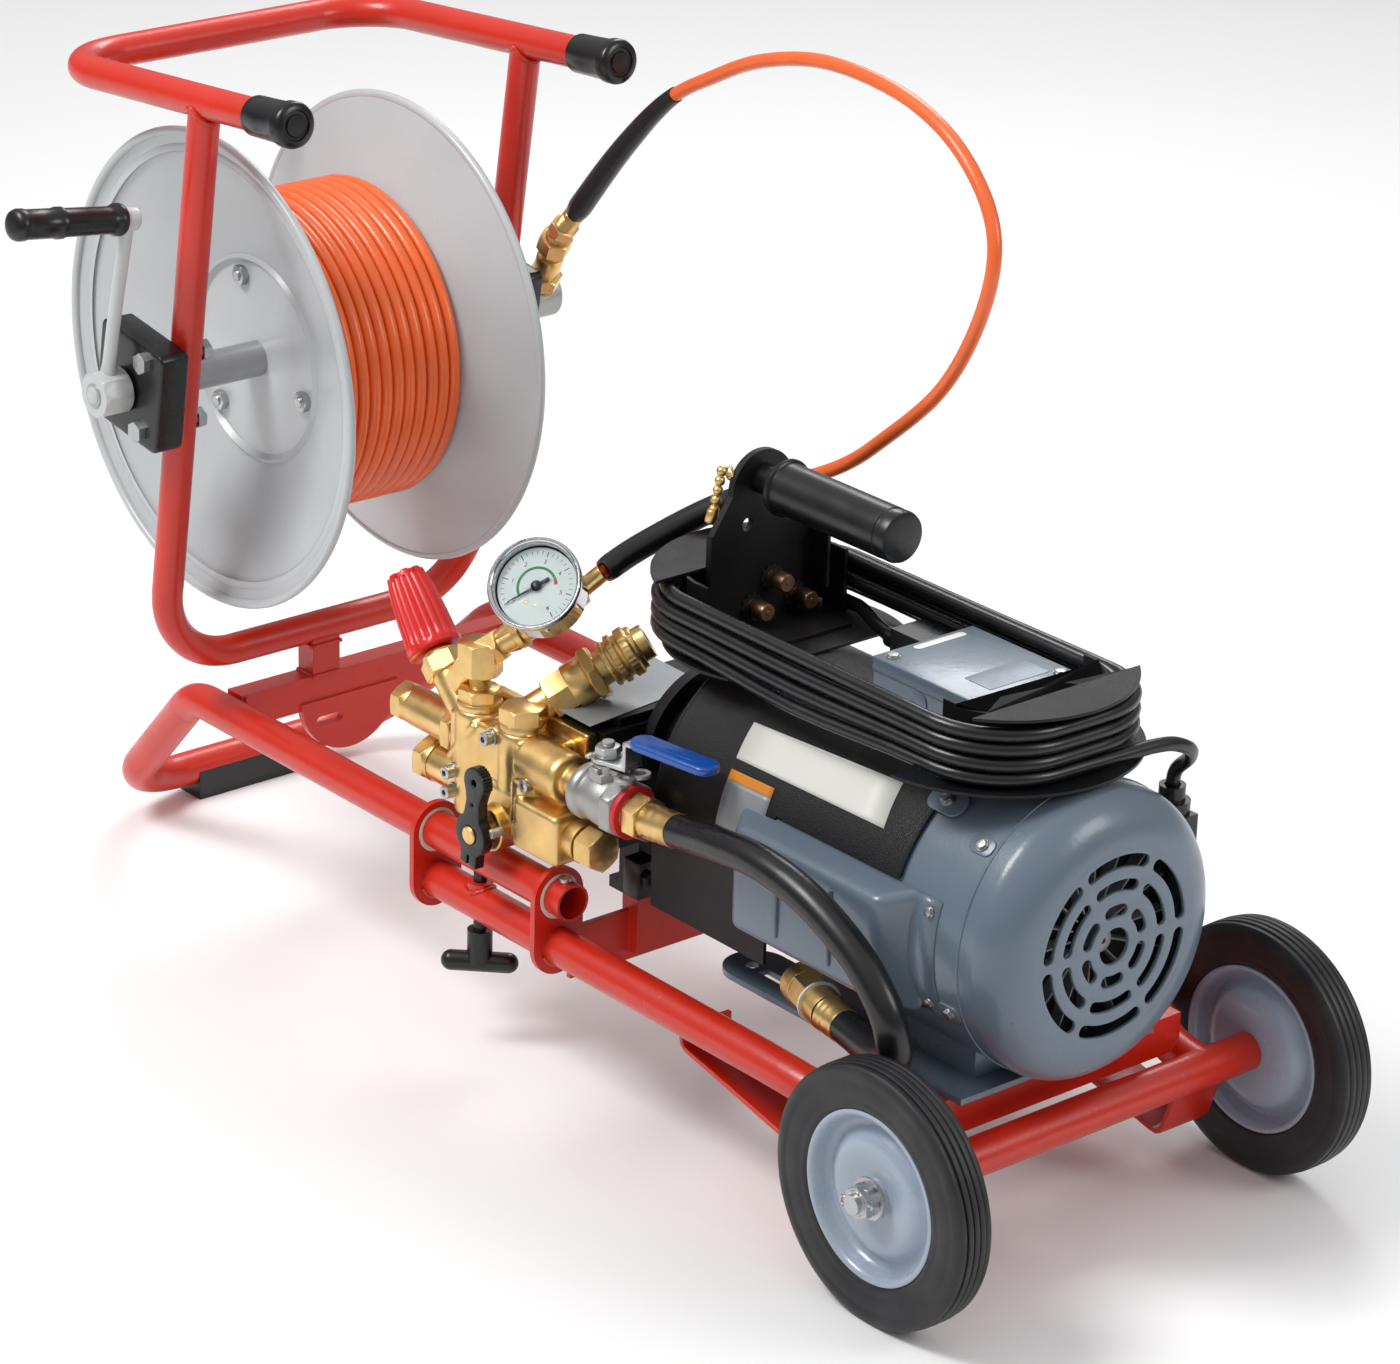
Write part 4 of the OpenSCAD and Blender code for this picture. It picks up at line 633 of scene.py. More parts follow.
def cord_path():
    """the lead from the plug, six turns round the wrap that rise and then step down and out, and
    the tail to the gland. Each turn has 24 places, 6 on each corner."""
    turns, inner = 6, CORD_D / 2 + 0.3
    top, down = (turns - 2.5) * CORD_STEP, turns - 3.5

    def at(k):
        s, q = k / 24, int(k % 24 // 6)
        r = WRAP_CORNER + inner + CORD_STEP * max(0, min(1, (s - down) * 4))
        x = WRAP_X1 - WRAP_CORNER if q in (0, 3) else WRAP_X0 + WRAP_CORNER
        y = UNIT_Y + (1 if q < 2 else -1) * (WRAP_HALF - WRAP_CORNER)
        lift = top * (s - 0.25) / (turns - 3.75) if s < down else top - (s - down) * CORD_STEP
        a = radians(90 * q + 17.99 * (k % 6))
        return V((x + r * cos(a), y + r * sin(a), CORD_Z0 + lift + 0.18 * sin(k * 0.9)))
    pts = []
    for quarter in range(1, 4 * turns):
        pts += [at(6 * quarter + m / 2) for m in range(11)]
        if quarter < 4 * turns - 1:
            last, nxt = pts[-1], at(6 * quarter + 6)
            level = max(0, quarter / 4 - turns + 3.2)
            for i in range(1, 8):
                q = last.lerp(nxt, i / 8)
                hump = sin(pi * i / 8) ** 1.5
                q.z -= 0.16 * hump + 1.1 * level * hump ** 1.8 * abs(side_of(quarter))
                q.y += side_of(quarter) * hump * 1.3 * level
                pts.append(q)
    lead = [(664, 30, 324), (645, 36, 323.5), (620, 48, 322), (604, 54.5, 320.4)]
    tail = [(883, 45, 319.8), (883, 64, 317), (879, 84, 307), (868, 95, 294), (857.5, 96, 283),
            (855, 96, 272), (855, 96, 258)]
    return route(lead, 3)[:-1] + pts + route(tail, 4)


def hose_ends():
    """nuts and collars at both ends of the inlet hose."""
    def valve_end(x):
        return (x, LINE_Y, LINE_Z)
    p = Piece()
    p.bar([(12.8, 0), (12.8, 7.6)], valve_end(600.6), valve_end(608.4))
    p.hexbar(valve_end(607), valve_end(619.6), 27)
    p.turned([(12.6, 0), (17.6, 0), (17.9, 0.6), (17.9, 3.4), (17.6, 4), (12.6, 4)],
             valve_end(601), (1, 0, 0), 48, 1)
    p.bar([(12.2, 0), (12.6, 2), (12.6, 16)], (769.6, -105.8, 140), (753, -100.2, 140))
    p.hexbar((754, -100.5, 140), (735, -94, 140), 24)
    p.washer(10, 14.4, 1.8, (755.4, -101, 140), (-0.944, 0.33, 0), 48, 2)
    p.rod((736, -94.3, 140), (724, -90.2, 140), 27)
    return p.done("hose_nuts", ["brass", "print_red", "label_white"], "inlet_ends",
                  smooth=40, slot="brass")


def jacket(name, line, radius, sides, look, *nodes, body="chassis"):
    """a piece that is one tube along a line."""
    p = Piece()
    p.swept(line, radius, sides)
    return p.done(name, look, *nodes, body=body, smooth=60)


def leader():
    """the hose from the pump's outlet to the reel's swivel, with a stiff sleeve at each end."""
    line = route(LEADER, 12)
    low, high = 40, 27      # how many of the line's points each sleeve covers
    hose = jacket("leader_jacket", line, 4.75, 20, "hose_orange", body=None)

    def near_tip(i, n, reach):
        return max(0, 1 - (n - 1 - i) / reach)
    low_radii = [8.7 - 0.9 * max(0, 1 - i / 3) - 1.3 * near_tip(i, low, 3) for i in range(low)]
    high_radii = [8.6 - 3.0 * (1 - i / (high - 1)) ** 1.5 - 1.4 * near_tip(i, high, 2)
                  for i in range(high)]
    ends = [jacket("leader_sleeve_" + n, part, radii, 24, "black_rubber", "leader_sleeves", body=body)
            for n, part, radii, body in (("1", line[:low], low_radii, "chassis"),
                                         ("2", line[-high:], high_radii, "reel_half"))]
    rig.replaces(hose, "leader_hose")
    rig.blend(hose, "chassis", "reel_half", start=(0.498, -0.07, 0.339), end=(0.239, 0.11, 0.481))
    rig.cord(hose, exit=metres(line)[0], length=round(length(line), 3), diameter=0.0095,
            far_end="object", stiffness="stiff", lay="taut", path=metres(line), with_pieces=ends)


def inlet():
    """the hose from the inlet valve round to its lower fitting, crimped at each end."""
    line = route(INLET, 12)
    hose = jacket("inlet_jacket", line, 11, 32, "black_rubber", "inlet_hose")
    e = Piece()
    steps = 9
    for first, pts in ((True, line[:steps + 1]), (False, line[-steps:])):
        n = len(pts) - 1
        e.swept(pts, [11.9 - 0.7 * (i / n if first else 1 - i / n) + 0.35 * sin(i * 2.4)
                      for i in range(n + 1)], 40)
    ferrules = e.done("inlet_ferrules", "brass", smooth=50)
    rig.cord(hose, exit=metres(line)[0], length=round(length(line), 3), diameter=0.022,
            far_end="object", stiffness="stiff", lay="taut", path=metres(line),
            with_pieces=[ferrules, hose_ends()])


def power_cord():
    line = cord_path()
    cord = jacket("cord_jacket", line, CORD_D / 2, 16, "black_rubber", "power_cord")
    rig.cord(cord, exit=metres(line)[-1], length=round(length(line), 3), diameter=0.0092,
            far_end="plug", stiffness="medium", lay="coiled", path=metres(line),
            with_pieces=[NODES["power_plug"]])


leader()
inlet()
power_cord()


def dish(r):
    """how deep a flange is dished at radius r."""
    return 41 * (166 - r) / 96


def wound_hose():
    """one unbroken winding between the flanges; each turn steps over near its end, and both ends
    dive under."""
    d, top, first = 8.9, 112, 262       # the hose, the winding's outer radius, where it starts
    r = top - d / 2
    clear = dish(r) + 2 + d / 2 + 1.4
    y0, y1 = FLANGES[0][0] + clear, FLANGES[1][0] - clear
    rows = int((y1 - y0) / 9.15) + 1
    pitch = (y1 - y0) / (rows - 1)

    def at(rr, rz, y, deg):
        b = radians(first + deg)
        return (REEL_X + rr * cos(b), y, REEL_Z + rz * sin(b))
    pts = []
    for i in range(rows):
        inner = 0 < i < rows - 1
        for a in range(0, 360, 5):
            t = max(0, (a - 318) / 42) if i < rows - 1 else 0
            t = t * t * (3 - 2 * t)
            w = 0.12 * sin(i * 2.3 + a * 0.021) + 0.08 * sin(i * 5.1 + a * 0.06)
            pts.append(at(r + 0.05 * sin(i * 3.1 + a * 0.03), r, y0 + pitch * (i + t) + w * inner, a))
    head = [at(r - 1.1 * k, r - 1.1 * k, y0, -4 * k) for k in (5, 4, 3, 2, 1)]
    tail = [at(r - 1.1 * k, r - 1.1 * k, y1, 355 + 4 * k) for k in (1, 2, 3, 4, 5)]
    p = Piece()
    p.swept(head + pts + tail, d / 2, 14, side=(0, 1, 0))
    p.done("wound_jacket", "hose_orange", "wound_hose", smooth=60, body="reel")


wound_hose()


# ---------- wheels ----------

def tyre(s, body):
    """the solid tyre: shoulders and a tread of five ribs; s is the side, as for the next two."""
    shoulder = [(55.4, -10.5), (57, -12.2), (59.5, -12.9), (61.5, -12.4), (63, -12.9), (66, -13.3),
                (72, -13.4), (74, -13.0), (75, -13.4), (78.4, -13.2), (80.4, -12.6)]
    tread = []
    for i, crown in enumerate((83.2, 83.9, 84.0, 83.9, 83.2)):
        h = 4.8 * i - 11.6
        tread += [(crown - 1.7, h - 0.45), (crown - 0.3, h + 0.15), (crown, h + 0.6),
                  (crown, h + 3.3), (crown - 0.3, h + 3.8)]
    p = Piece()
    p.turned(shoulder + tread + [(r, -h) for r, h in reversed(shoulder)],
             (WHEEL_X, s * WHEEL_Y, WHEEL_Z), (0, s, 0), 160)
    p.done("tyre_" + body, "tyre_rubber", "tyre_near" if s < 0 else "tyre_far", body=body)


def wheel_disc(s, body):
    """the pressed disc: dished outside, domed towards the axle tube inside."""
    outside = [(6.6, 9.4), (12.6, 9.4), (13, 8.8), (13, 6.4), (15, 6), (22, 7), (30, 8.2), (35, 7.6),
               (39, 4.6), (42, 1.4), (45, -0.2), (47.4, 0.6), (49.4, 4), (50.8, 8.6), (52, 11.2),
               (54, 12.2), (55.6, 11.6)]
    inside = [(55.6, -11.6), (54, -12.2), (52.4, -11.4), (50.6, -6), (49, -2.6), (47.2, -1.2),
              (45, -1.7), (43, -3.4), (40.6, -7.2), (37.4, -10.4), (33, -12.6), (27, -13.8),
              (20, -14.1), (6.6, -14.1)]
    p = Piece()
    p.turned(outside + inside, (WHEEL_X, s * WHEEL_Y, WHEEL_Z), (0, s, 0), 128)
    p.done("wheel_disc_" + body, "wheel_paint", "wheel_near" if s < 0 else "wheel_far",
           smooth=50, slot="flange_paint", body=body)


def axle_nut(s, body):
    """washer, castle nut, the axle's end and a split pin."""
    def at(out, x=0, z=0):
        return (WHEEL_X + x, s * (WHEEL_Y + 9.6 + out), WHEEL_Z + z)

    def castle(r, h, a):
        return r if (degrees(a) % 60) > 14 else min(r, 6.7)
    p = Piece()
    p.turned([(6.6, 0), (13.2, 0), (13.6, 0.5), (13.2, 1.9), (6.6, 1.9)], at(0.2), (0, s, 0), 48)
    p.hexbar(at(2.3), at(8.6), 19)
    p.bar([(8.4, 0), (8.4, 3.6), (7.9, 4)], at(8.5), at(12.5), 72, flute=castle)
    p.rod(at(8), at(15.6), 12.6, 0.8)
    pin = [at(10.4, -12, -5.4), at(10.4, -6, -2.7), at(10.4, 6, 2.7), at(11.2, 11.4, 4.6),
           at(13.2, 13, 4.2)]
    p.swept(route(pin, 4), 1.15, 8)
    p.swept([at(10.4, -12 - 3 * sin(k * pi / 5), -3.4 - 3 * cos(k * pi / 5)) for k in range(9)], 1.1, 8)
    p.done("axle_nut_" + body, "zinc_steel")


for side, wheel in ((-1, "near_wheel"), (1, "far_wheel")):
    tyre(side, wheel)
    wheel_disc(side, wheel)
    axle_nut(side, wheel)


# ---------- gauge ----------

# the middle of the glass, the way the dial faces, and the dial's right
DIAL, DIAL_AXIS = V((486, -118, 338)), V((0.395, -0.671, 0.626)).normalized()
DIAL_RIGHT = V((0.7088, 0.6511, -0.2702))


def words(piece, text, size, matrix):
    """lettering of that size, 0.1 mm thick."""
    c = bpy.data.curves.new("tmp", "FONT")
    c.body, c.size, c.align_x, c.align_y, c.extrude = text, size, "CENTER", "CENTER", 0.05
    c.resolution_u = 3
    piece.curve(c, matrix)


def arc_strip(piece, matrix, r0, r1, a0, a1, z, mat, n=40):
    """a flat band from radius r0 to r1 and from angle a0 to a1."""
    rims = [circle(0, 0, r, n + 1, a0, a1) for r in (r0, r1)]
    piece.add([matrix @ V((*xy, z)) for pair in zip(*rims) for xy in pair],
              [[2 * i, 2 * i + 1, 2 * i + 3, 2 * i + 2] for i in range(n)], mat)


def gauge():
    """the printed dial, the needle and the chromed can."""
    flat = frame_at(DIAL, DIAL_AXIS, DIAL_RIGHT)
    m = flat @ Matrix.Diagonal((0.9, 0.9, 1, 1))
    face, zero, end = -7.65, 225, 36
    p = Piece()
    for i in range(31):
        big = i % 5 == 0
        a, half = zero - 9 * i, 0.75 if big else 0.4
        arc_strip(p, m, 22.6 if big else 24.2, 26.8, a - half, a + half, face, 0, 1)
    for i in range(7):
        a = radians(zero - 45 * i)
        words(p, "%d" % i, 4.6, m @ Matrix.Translation((18.9 * cos(a), 18.9 * sin(a), face)))
    arc_strip(p, m, 13.2, 15.2, zero, end, face, 1)
    arc_strip(p, m, 13.0, 15.4, end, 20, face, 2, 10)
    for x in (-4, 4):
        p.washer(0.9, 1.5, 0.1, m @ V((x, -13, face)), DIAL_AXIS, 16, 3)
    p.done("dial_print", ["print_black", "print_green", "print_red", "brass"], slot="dial_white")
    n = Piece()
    n.plate([[(-10, -1.6), (-11, 0), (-10, 1.6), (-3, 1.2), (24, 0.25), (24, -0.25), (-3, -1.2)]], 0.6,
            m @ Matrix.Rotation(radians(zero), 4, "Z") @ Matrix.Translation((0, 0, -6.6)), 0.1)
    n.bar([(3.2, 0), (3.6, 0.4), (3.6, 1.2), (2.6, 1.8)], DIAL - DIAL_AXIS * 6.9, DIAL - DIAL_AXIS * 5,
          32)
    n.done("needle", "needle_black", "gauge_needle", body="needle")
    c = Piece()
    can = [(0.1, -30), (12, -30), (24, -29.8), (27.4, -28.8), (28.4, -27.4), (28.5, -9.4),
           (29.2, -8.8), (29.4, -6.4), (30.9, -5.7), (31.5, -4.4), (31.5, -1.4), (30.8, -0.3),
           (29.9, 0), (29, -0.4), (28.1, -1.4), (27.6, -3.2), (27.4, -4.6), (27.2, -26), (0.1, -26)]
    c.turned(can, DIAL, DIAL_AXIS, 120)
    for x, y in circle(0, 0, 1, 3, 60, 300):
        c.turned([(0.1, 0), (1.6, 0), (1.6, 0.8), (1.1, 1.2), (0.1, 1.2)],
                 flat @ V((28.3 * x, 28.3 * y, -15)), flat.to_3x3() @ V((x, y, 0)), 16)
    c.done("gauge_can", "chrome", "gauge_case")


gauge()


# ---------- knob, levers and valves ----------

def unloader():
    """the fluted red knob on its slanted stem."""
    base, u = V((384.5, -118, 255)), V((-43, 5, 42)).normalized()

    def flutes(r, h, a):
        return r if h < 7 or h > 56 else r * (1 - 0.075 * (1 - abs(sin(9 * a)) ** 0.8))

    def crown(r, h, a):
        return r * (1 if sin(8 * a) > -0.1 else 0.8)
    p = Piece()
    p.bar([(17.6, 2), (18.8, 2.8), (19, 6), (18.9, 8), (18.3, 9), (17.9, 16), (17.4, 26), (16.4, 38),
           (15.2, 48), (14.4, 53), (13.4, 56)], base, base + u * 60, 144, flute=flutes)
    p.bar([(13.3, 55.5), (13.2, 58), (12.6, 60)], base, base + u * 60, 96, flute=crown)
    p.bar([(7, 58), (7.2, 60.6), (5.5, 61)], base, base + u * 61, 32)
    p.done("knob", "knob_red", "unloader_knob", smooth=50, body="unloader")


def pulse():
    """the flat black lever: a round hub, a neck, a toothed tip and a forked tail."""
    m = frame_at((482, -157, 172), (0, -1, 0), (cos(radians(6)), 0, -sin(radians(6))))
    outline = (circle(0, 0, 15, 12, 218, 125) + [(-7.6, 16), (-6.6, 24), (-8, 30)]
               + circle(0, 38, 10.6, 18, 205, 90))
    for i in range(9):
        a = 86 - i * 12
        outline += circle(0, 38, 11.2, 2, a, a - 5)[:1] + circle(0, 38, 10.2, 2, a, a - 5)[1:]
    outline += [(8, 30), (6.6, 24), (7.6, 16)] + circle(0, 0, 15, 12, 55, -38)
    outline += [(8, -13), (8, -22), (1.2, -22), (1.2, -15), (-1.2, -15), (-1.2, -22), (-8, -22),
                (-8, -13)]
    p = Piece()
    p.plate([outline, circle(0, 0, 6.5, 32), circle(0, 38, 2.6, 16), circle(0, 22, 1.3, 10)], 8, m, 0.8)
    p.done("pulse_handle", "black_handle", "pulse_lever", smooth=40, body="pulse_valve")
    q = Piece()
    q.bar([(3.2, 0), (3.2, 9), (2.6, 9.6)], (496, -150, 176), (496, -160, 176), 20)
    q.done("pulse_stop", "shaft_steel")


def inlet_valve():
    """the ball valve: body and lock tabs, nut, bent steel lever and blue grip."""
    x0, y, z = 577, LINE_Y, LINE_Z

    def stem(h):
        return (x0, y, z + h)
    p = Piece()
    p.bar([(16, 0), (18.4, 1.2), (18.9, 2.4), (18.9, 7), (18, 8.4), (16.6, 9.4), (16.4, 13), (17.2, 17),
           (17.6, 22), (17.2, 27), (16.2, 31), (16, 34)], (556, y, z), (590, y, z), 72)
    p.hexbar((589, y, z), (600.8, y, z), 36, chamfer=0.6)
    p.bar([(10.6, 0), (10, 6), (9.6, 12), (9.6, 26)], stem(0), stem(26), 40)
    p.hexbar(stem(14), stem(21), 21)
    p.thread(stem(24), stem(40), 8.8, 1.1)
    p.box((572.5, y - 12.5, z + 21), (581.5, y + 12.5, z + 24.4), 1.2)
    p.box((561, y + 8, z + 18), (567, y + 16, z + 24), 1.5)
    for w in (-6, 7):
        p.plate([circle(24, w, 7, 24), circle(24, w, 3, 20)], 2.6, Matrix.Translation(stem(22)), 0.5)
        p.swept([(583, y + w * 0.6, z + 23.3), (594.6, y + w * 0.94, z + 23.3)], 2.2, 10)
    p.done("valve_body", "nickel", "ball_valve", smooth=40)
    n = Piece()
    n.hexbar(stem(31.2), stem(37), 14.6)
    n.washer(4.6, 8.6, 1, stem(30.4), (0, 0, 1), 32)
    n.done("valve_nut", "zinc_steel", body="inlet_valve")
    m = Matrix.Translation(stem(27.3)) @ Matrix.Rotation(radians(8), 4, "Z")
    s = Piece()
    s.plate([circle(0, 0, 11, 24, 60, 300) + [(22, -8), (22, 8)], circle(0, 0, 4.7, 24)], 2.8, m, 0.3)
    for a, b, r in (((19.2, -8, 0), (22, 8, 20), 0.7), ((19.4, -8, 17.4), (40, 8, 20), 0.7),
                    ((-12, -9, 0), (-8, -3, 2.8), 0.8)):
        s.box(a, b, r, m)
    s.done("lever_steel", "zinc_steel", smooth=40, body="inlet_valve")
    h = Piece()
    h.plate([rounded(22, -9.5, 91.4, 9.5, 9, 10)], 6.2, m @ Matrix.Translation((0, 0, 16.8)), 2.2)
    h.plate([rounded(34, -3.4, 78, 3.4, 3.2, 6)], 0.4, m @ Matrix.Translation((0, 0, 22.7)), 0.15)
    h.done("lever_grip", "lever_blue", "valve_lever", smooth=60, body="inlet_valve")


unloader()
pulse()
inlet_valve()


# ---------- brass fittings ----------

def cast(name, piece, look, *nodes):
    """one casting: the shapes are fused by a fine remesh and their joins softened."""
    raw = piece.done(name + "_raw", look, body=None)
    fuse = raw.modifiers.new("fuse", "REMESH")
    fuse.mode, fuse.voxel_size, fuse.use_smooth_shade = "VOXEL", 1.0 * MM, True
    soften = raw.modifiers.new("soften", "SMOOTH")
    soften.factor, soften.iterations = 0.5, 3
    graph = bpy.context.evaluated_depsgraph_get()
    me = bpy.data.meshes.new_from_object(raw.evaluated_get(graph))
    me.name = name
    bpy.data.objects.remove(raw)
    o = bpy.data.objects.new(name, me)
    me.materials.clear()
    me.materials.append(M[look])
    for poly in me.polygons:
        poly.use_smooth = True
        poly.material_index = 0
    scene.collection.objects.link(o)
    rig.ride(o, "chassis")
    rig.replaces(o, *nodes)
    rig.slot(o, look)


def pump_head():
    """the manifold, one casting, with its stems, plugs and screws."""
    front, cap_y = -120, -124
    p = Piece()
    for a, b, r in (((423, -137.5, 173), (517, -104, 235), 3),
                    ((428.5, -107, 162.5), (529.5, -97.4, 243.5), 2),
                    ((505.5, -149.5, 168.5), (551.5, -112, 203.5), 4),
                    ((497, -146, 178), (512, -120, 214), 5), ((462, -141, 172), (502, -130, 200), 4)):
        p.box(a, b, r)
    for x in (439, 485):
        p.bar([(15.2, 0), (16.4, 2), (16.4, 70), (15.6, 73), (14.6, 74)], (x, cap_y, 164),
              (x, cap_y, 238))
    p.pin((366, front, 212), (440, front, 212), 13.4, 74)
    p.pin((410, front, 212), (440, front, 212), 15.2, 30)
    p.pin((392, front, 180), (440, front, 180), 13.4, 48)
    p.bar([(16.9, 0), (16.9, 37), (15.6, 40.6)], (500, LINE_Y, LINE_Z), (540.6, LINE_Y, LINE_Z))
    p.pin((540, LINE_Y, LINE_Z), (555.7, LINE_Y, LINE_Z), 9.9, 15)
    p.pin((389, -118, 254), (428, -121, 222), 12, 50)
    p.pin((482, -150.6, 172), (482, front, 172), 14.9, 30)
    for x, z in ((429, 185), (512, 212), (470, 230)):
        p.pin((x, -138, z), (x, -118, z), 7.4, 20)
    for a, b in (((424, -137, 200), (452, -137.6, 232)), ((500, -137, 214), (520, -139, 196)),
                 ((452, -138, 190), (470, -139, 176))):
        p.swept([a, b], 3, 12)
    cast("pump_casting", p, "brass", "pump_manifold")
    q = Piece()
    q.pin((384.5, -118, 255), (368, -116, 270.5), 5, 24)
    q.rod((482, -150, 172), (482, -166.6, 172), 12.5, 0.8)
    q.pin((482, -150, 172), (482, -156.6, 172), 8, 6)
    q.hexbar((389, -118, 254), (399, -119, 246), 27)
    q.bar([(11, 0), (12.4, 1), (12.4, 3.4), (11, 4.4)], (386, -117.8, 256.5), (389.5, -118, 253.2))
    q.thread((385.5, -117.7, 257.5), (392, -118.3, 251), 21, 1.3)
    q.done("manifold_stems", "brass", smooth=40)
    c = Piece()
    for x in (439, 485):
        c.bar([(15, 0), (15.2, 1), (15.2, 4), (14.6, 5)], (x, cap_y, 238), (x, cap_y, 243))
    c.hexbar((439, cap_y, 242.6), (439, cap_y, 251.6), 25)
    c.hexbar((485, cap_y, 242.6), (485, cap_y, 254), 28)
    for x, z, d in ((366, 212, 25), (392, 180, 27)):
        c.bar([(d / 2, 0), (d / 2 + 0.5, 1), (d / 2 + 0.5, 4)], (x, front, z), (x - 4, front, z))
        c.hexbar((x - 3.6, front, z), (x - 14.6, front, z), d)
    c.hexbar((410, front, 212), (420, front, 212), 31)
    c.bar([(13, 0), (13.4, 1), (13.4, 11)], (551, -132, 186), (564, -132, 186))
    c.hexbar((563.4, -132, 186), (579.8, -132, 186), 24.5)
    c.hexbar((503, -131, 186), (509, -131, 186), 34)
    c.done("manifold_plugs", "brass", "manifold_caps", smooth=40)
    s = Piece()

    def socket(r, h, a):
        return r if r > 3 else r / cos(radians(degrees(a) % 60 - 30))
    for x, z in ((429, 192), (429, 178), (470, 230), (512, 212)):
        s.washer(0.1, 5.6, 0.9, (x, -138.2, z), (0, -1, 0), 32)
        s.turned([(0.05, 3.4), (2.0, 3.4), (2.0, 7.6), (3.9, 7.6), (4.5, 7.1), (4.5, 0.9)],
                 (x, -138.2, z), (0, -1, 0), 36, flute=socket)
    s.done("head_screws", "zinc_steel", "pump_screws", smooth=40)


def outlet():
    """the tee on the first cap: a stem to the gauge, an arm to the unloader and one to the hose."""
    p = Piece()
    p.thread((439, -124, 251), (439, -124, 262), 14, 1.3)
    p.hexbar((439, -124, 261), (439, -124, 284), 26)
    tee, elbow = V((439, -124, 273)), (470, -100, 300)
    stem = DIAL - DIAL_AXIS * 14 + V((-0.6, 0.2, -0.75)).normalized() * 29.5
    u = (stem - tee).normalized()
    p.rod(tee, stem, 11)
    p.hexbar(stem - u * 17, stem - u * 7, 16)
    p.thread(stem - u * 8, stem + u * 1, 12, 1.2)
    p.rod((408, -119, 238), (439, -124, 278), 17)
    p.hexbar((414, -119, 246), (430, -121, 266), 22)
    p.rod(tee, elbow, 14)
    p.rod(elbow, (498, -70.3, 338.3), 12)
    p.rod((466, -101, 296), (474, -99, 304), 16, 3)
    p.hexbar((480, -89.4, 313.7), (488, -80.9, 324.6), 19)
    p.hexbar((440, -122.6, 275), (450, -115, 283.5), 20)
    p.bar([(8.6, 0), (9.4, 0.8), (9.4, 5), (8.6, 5.8)], (458, -108.6, 289.6), (466, -102.8, 296.6))
    p.done("outlet_fittings", "brass", "outlet_tee", smooth=40)


def coupler():
    """the quick coupler: a fixed body and a knurled collar that slides on it."""
    a, b = V((478, -112, 244)), V((516.2, -44.7, 291.8))
    u = (b - a).normalized()
    p = Piece()
    p.pin(a - u * 8, a + u * 16, 11, 24)
    p.hexbar(a + u * 14, a + u * 32, 27)
    p.bar([(15, 0), (15.6, 1), (15.6, 13), (14, 15)], a + u * 30, a + u * 45)
    p.hexbar(a + u * 44, a + u * 52, 34)
    p.turned([(0.1, 0), (12, 0), (12, 36.8), (11.8, 38), (7.4, 38), (7, 36), (7, 12), (0.1, 12)],
             a + u * 51, u, 64)
    p.done("coupler_body", "brass", "quick_coupler", smooth=40)

    def knurl(r, h, ang):
        return r - (0.35 if 2 < h < 22 and sin(30 * ang) < 0 and r > 15.9 else 0)
    k = Piece()
    k.turned([(12.1, 0), (15.4, 0), (16, 0.8), (16, 3), (14.9, 3.6), (14.9, 5.4), (16, 6), (17.2, 6.4),
              (17.2, 9.8), (16, 10.4), (15, 11), (15, 13), (16, 13.6), (17.3, 14.2), (17.3, 19.4),
              (16.2, 20), (15.2, 21), (15.2, 23), (14.4, 24), (12.1, 24)], b - u * 33, u, 120,
             flute=knurl)
    k.done("coupler_collar", "brass", "coupler_sleeve", smooth=40, body="coupler_ring")


def swivel():
    """the brass fittings from the swivel up to the leader hose."""
    w0 = V((REEL_X + 20, BLOCK_Y[1] + 30.6, REEL_Z + 16))
    lead = V((238, 110, 480))
    w1 = lead + V((-22, 2, -22))
    v = (w1 - w0).normalized()
    p = Piece()
    p.rod(w0, w1, 12)
    p.hexbar(w0, w0 + v * 11, 22)
    p.thread(w0 + v * 11, w0 + v * 15, 17)
    p.bar([(9, 0), (9.6, 1), (9.6, 14), (8.6, 16)], w0 + v * 14, w0 + v * 30)
    p.hexbar(w1 - v * 14, w1 - v * 1, 21)
    t = (lead - w1).normalized()
    p.rod(w1 - t * 5, lead, 13)
    p.hexbar(w1 + t * 7, w1 + t * 16, 18)
    p.thread(w1 + t * 16, lead - t * 2, 14.5)
    p.rod(w1 - v * 3, w1 + v * 4, 16, 3)
    p.done("swivel_brass", "brass", "swivel_fitting", smooth=40, body="reel_half")


pump_head()
outlet()
coupler()
swivel()


# ---------- bare plates ----------

def sticker(name, points, thick, look):
    """a thin sheet on a grid of points (rows of equal length)."""
    p = Piece()
    rows, cols = len(points), len(points[0])
    p.add([q for row in points for q in row],
          [[r * cols + c, r * cols + c + 1, (r + 1) * cols + c + 1, (r + 1) * cols + c]
           for r in range(rows - 1) for c in range(cols - 1)])
    sheet = p.done(name, look).modifiers.new("sheet", "SOLIDIFY")
    sheet.thickness, sheet.offset = thick * MM, 0


def on_axis(x):
    """the point of the motor's axis at x."""
    return V((x, UNIT_Y, UNIT_Z))


def radial(x, deg, r):
    """a point round the motor's axis, and the way out from the axis there."""
    out = V((0, cos(radians(deg)), sin(radians(deg))))
    return on_axis(x) + out * r, out


def curved_label(name, corners, look, r=98.3):
    """a label on the saddle, from four corners (x, degrees) in order round it."""
    a, b, c, d = (V(corner) for corner in corners)
    sticker(name, [[radial(*a.lerp(b, j / 6).lerp(d.lerp(c, j / 6), i / 10), r)[0]
                    for j in range(7)] for i in range(11)], 0.25, look)


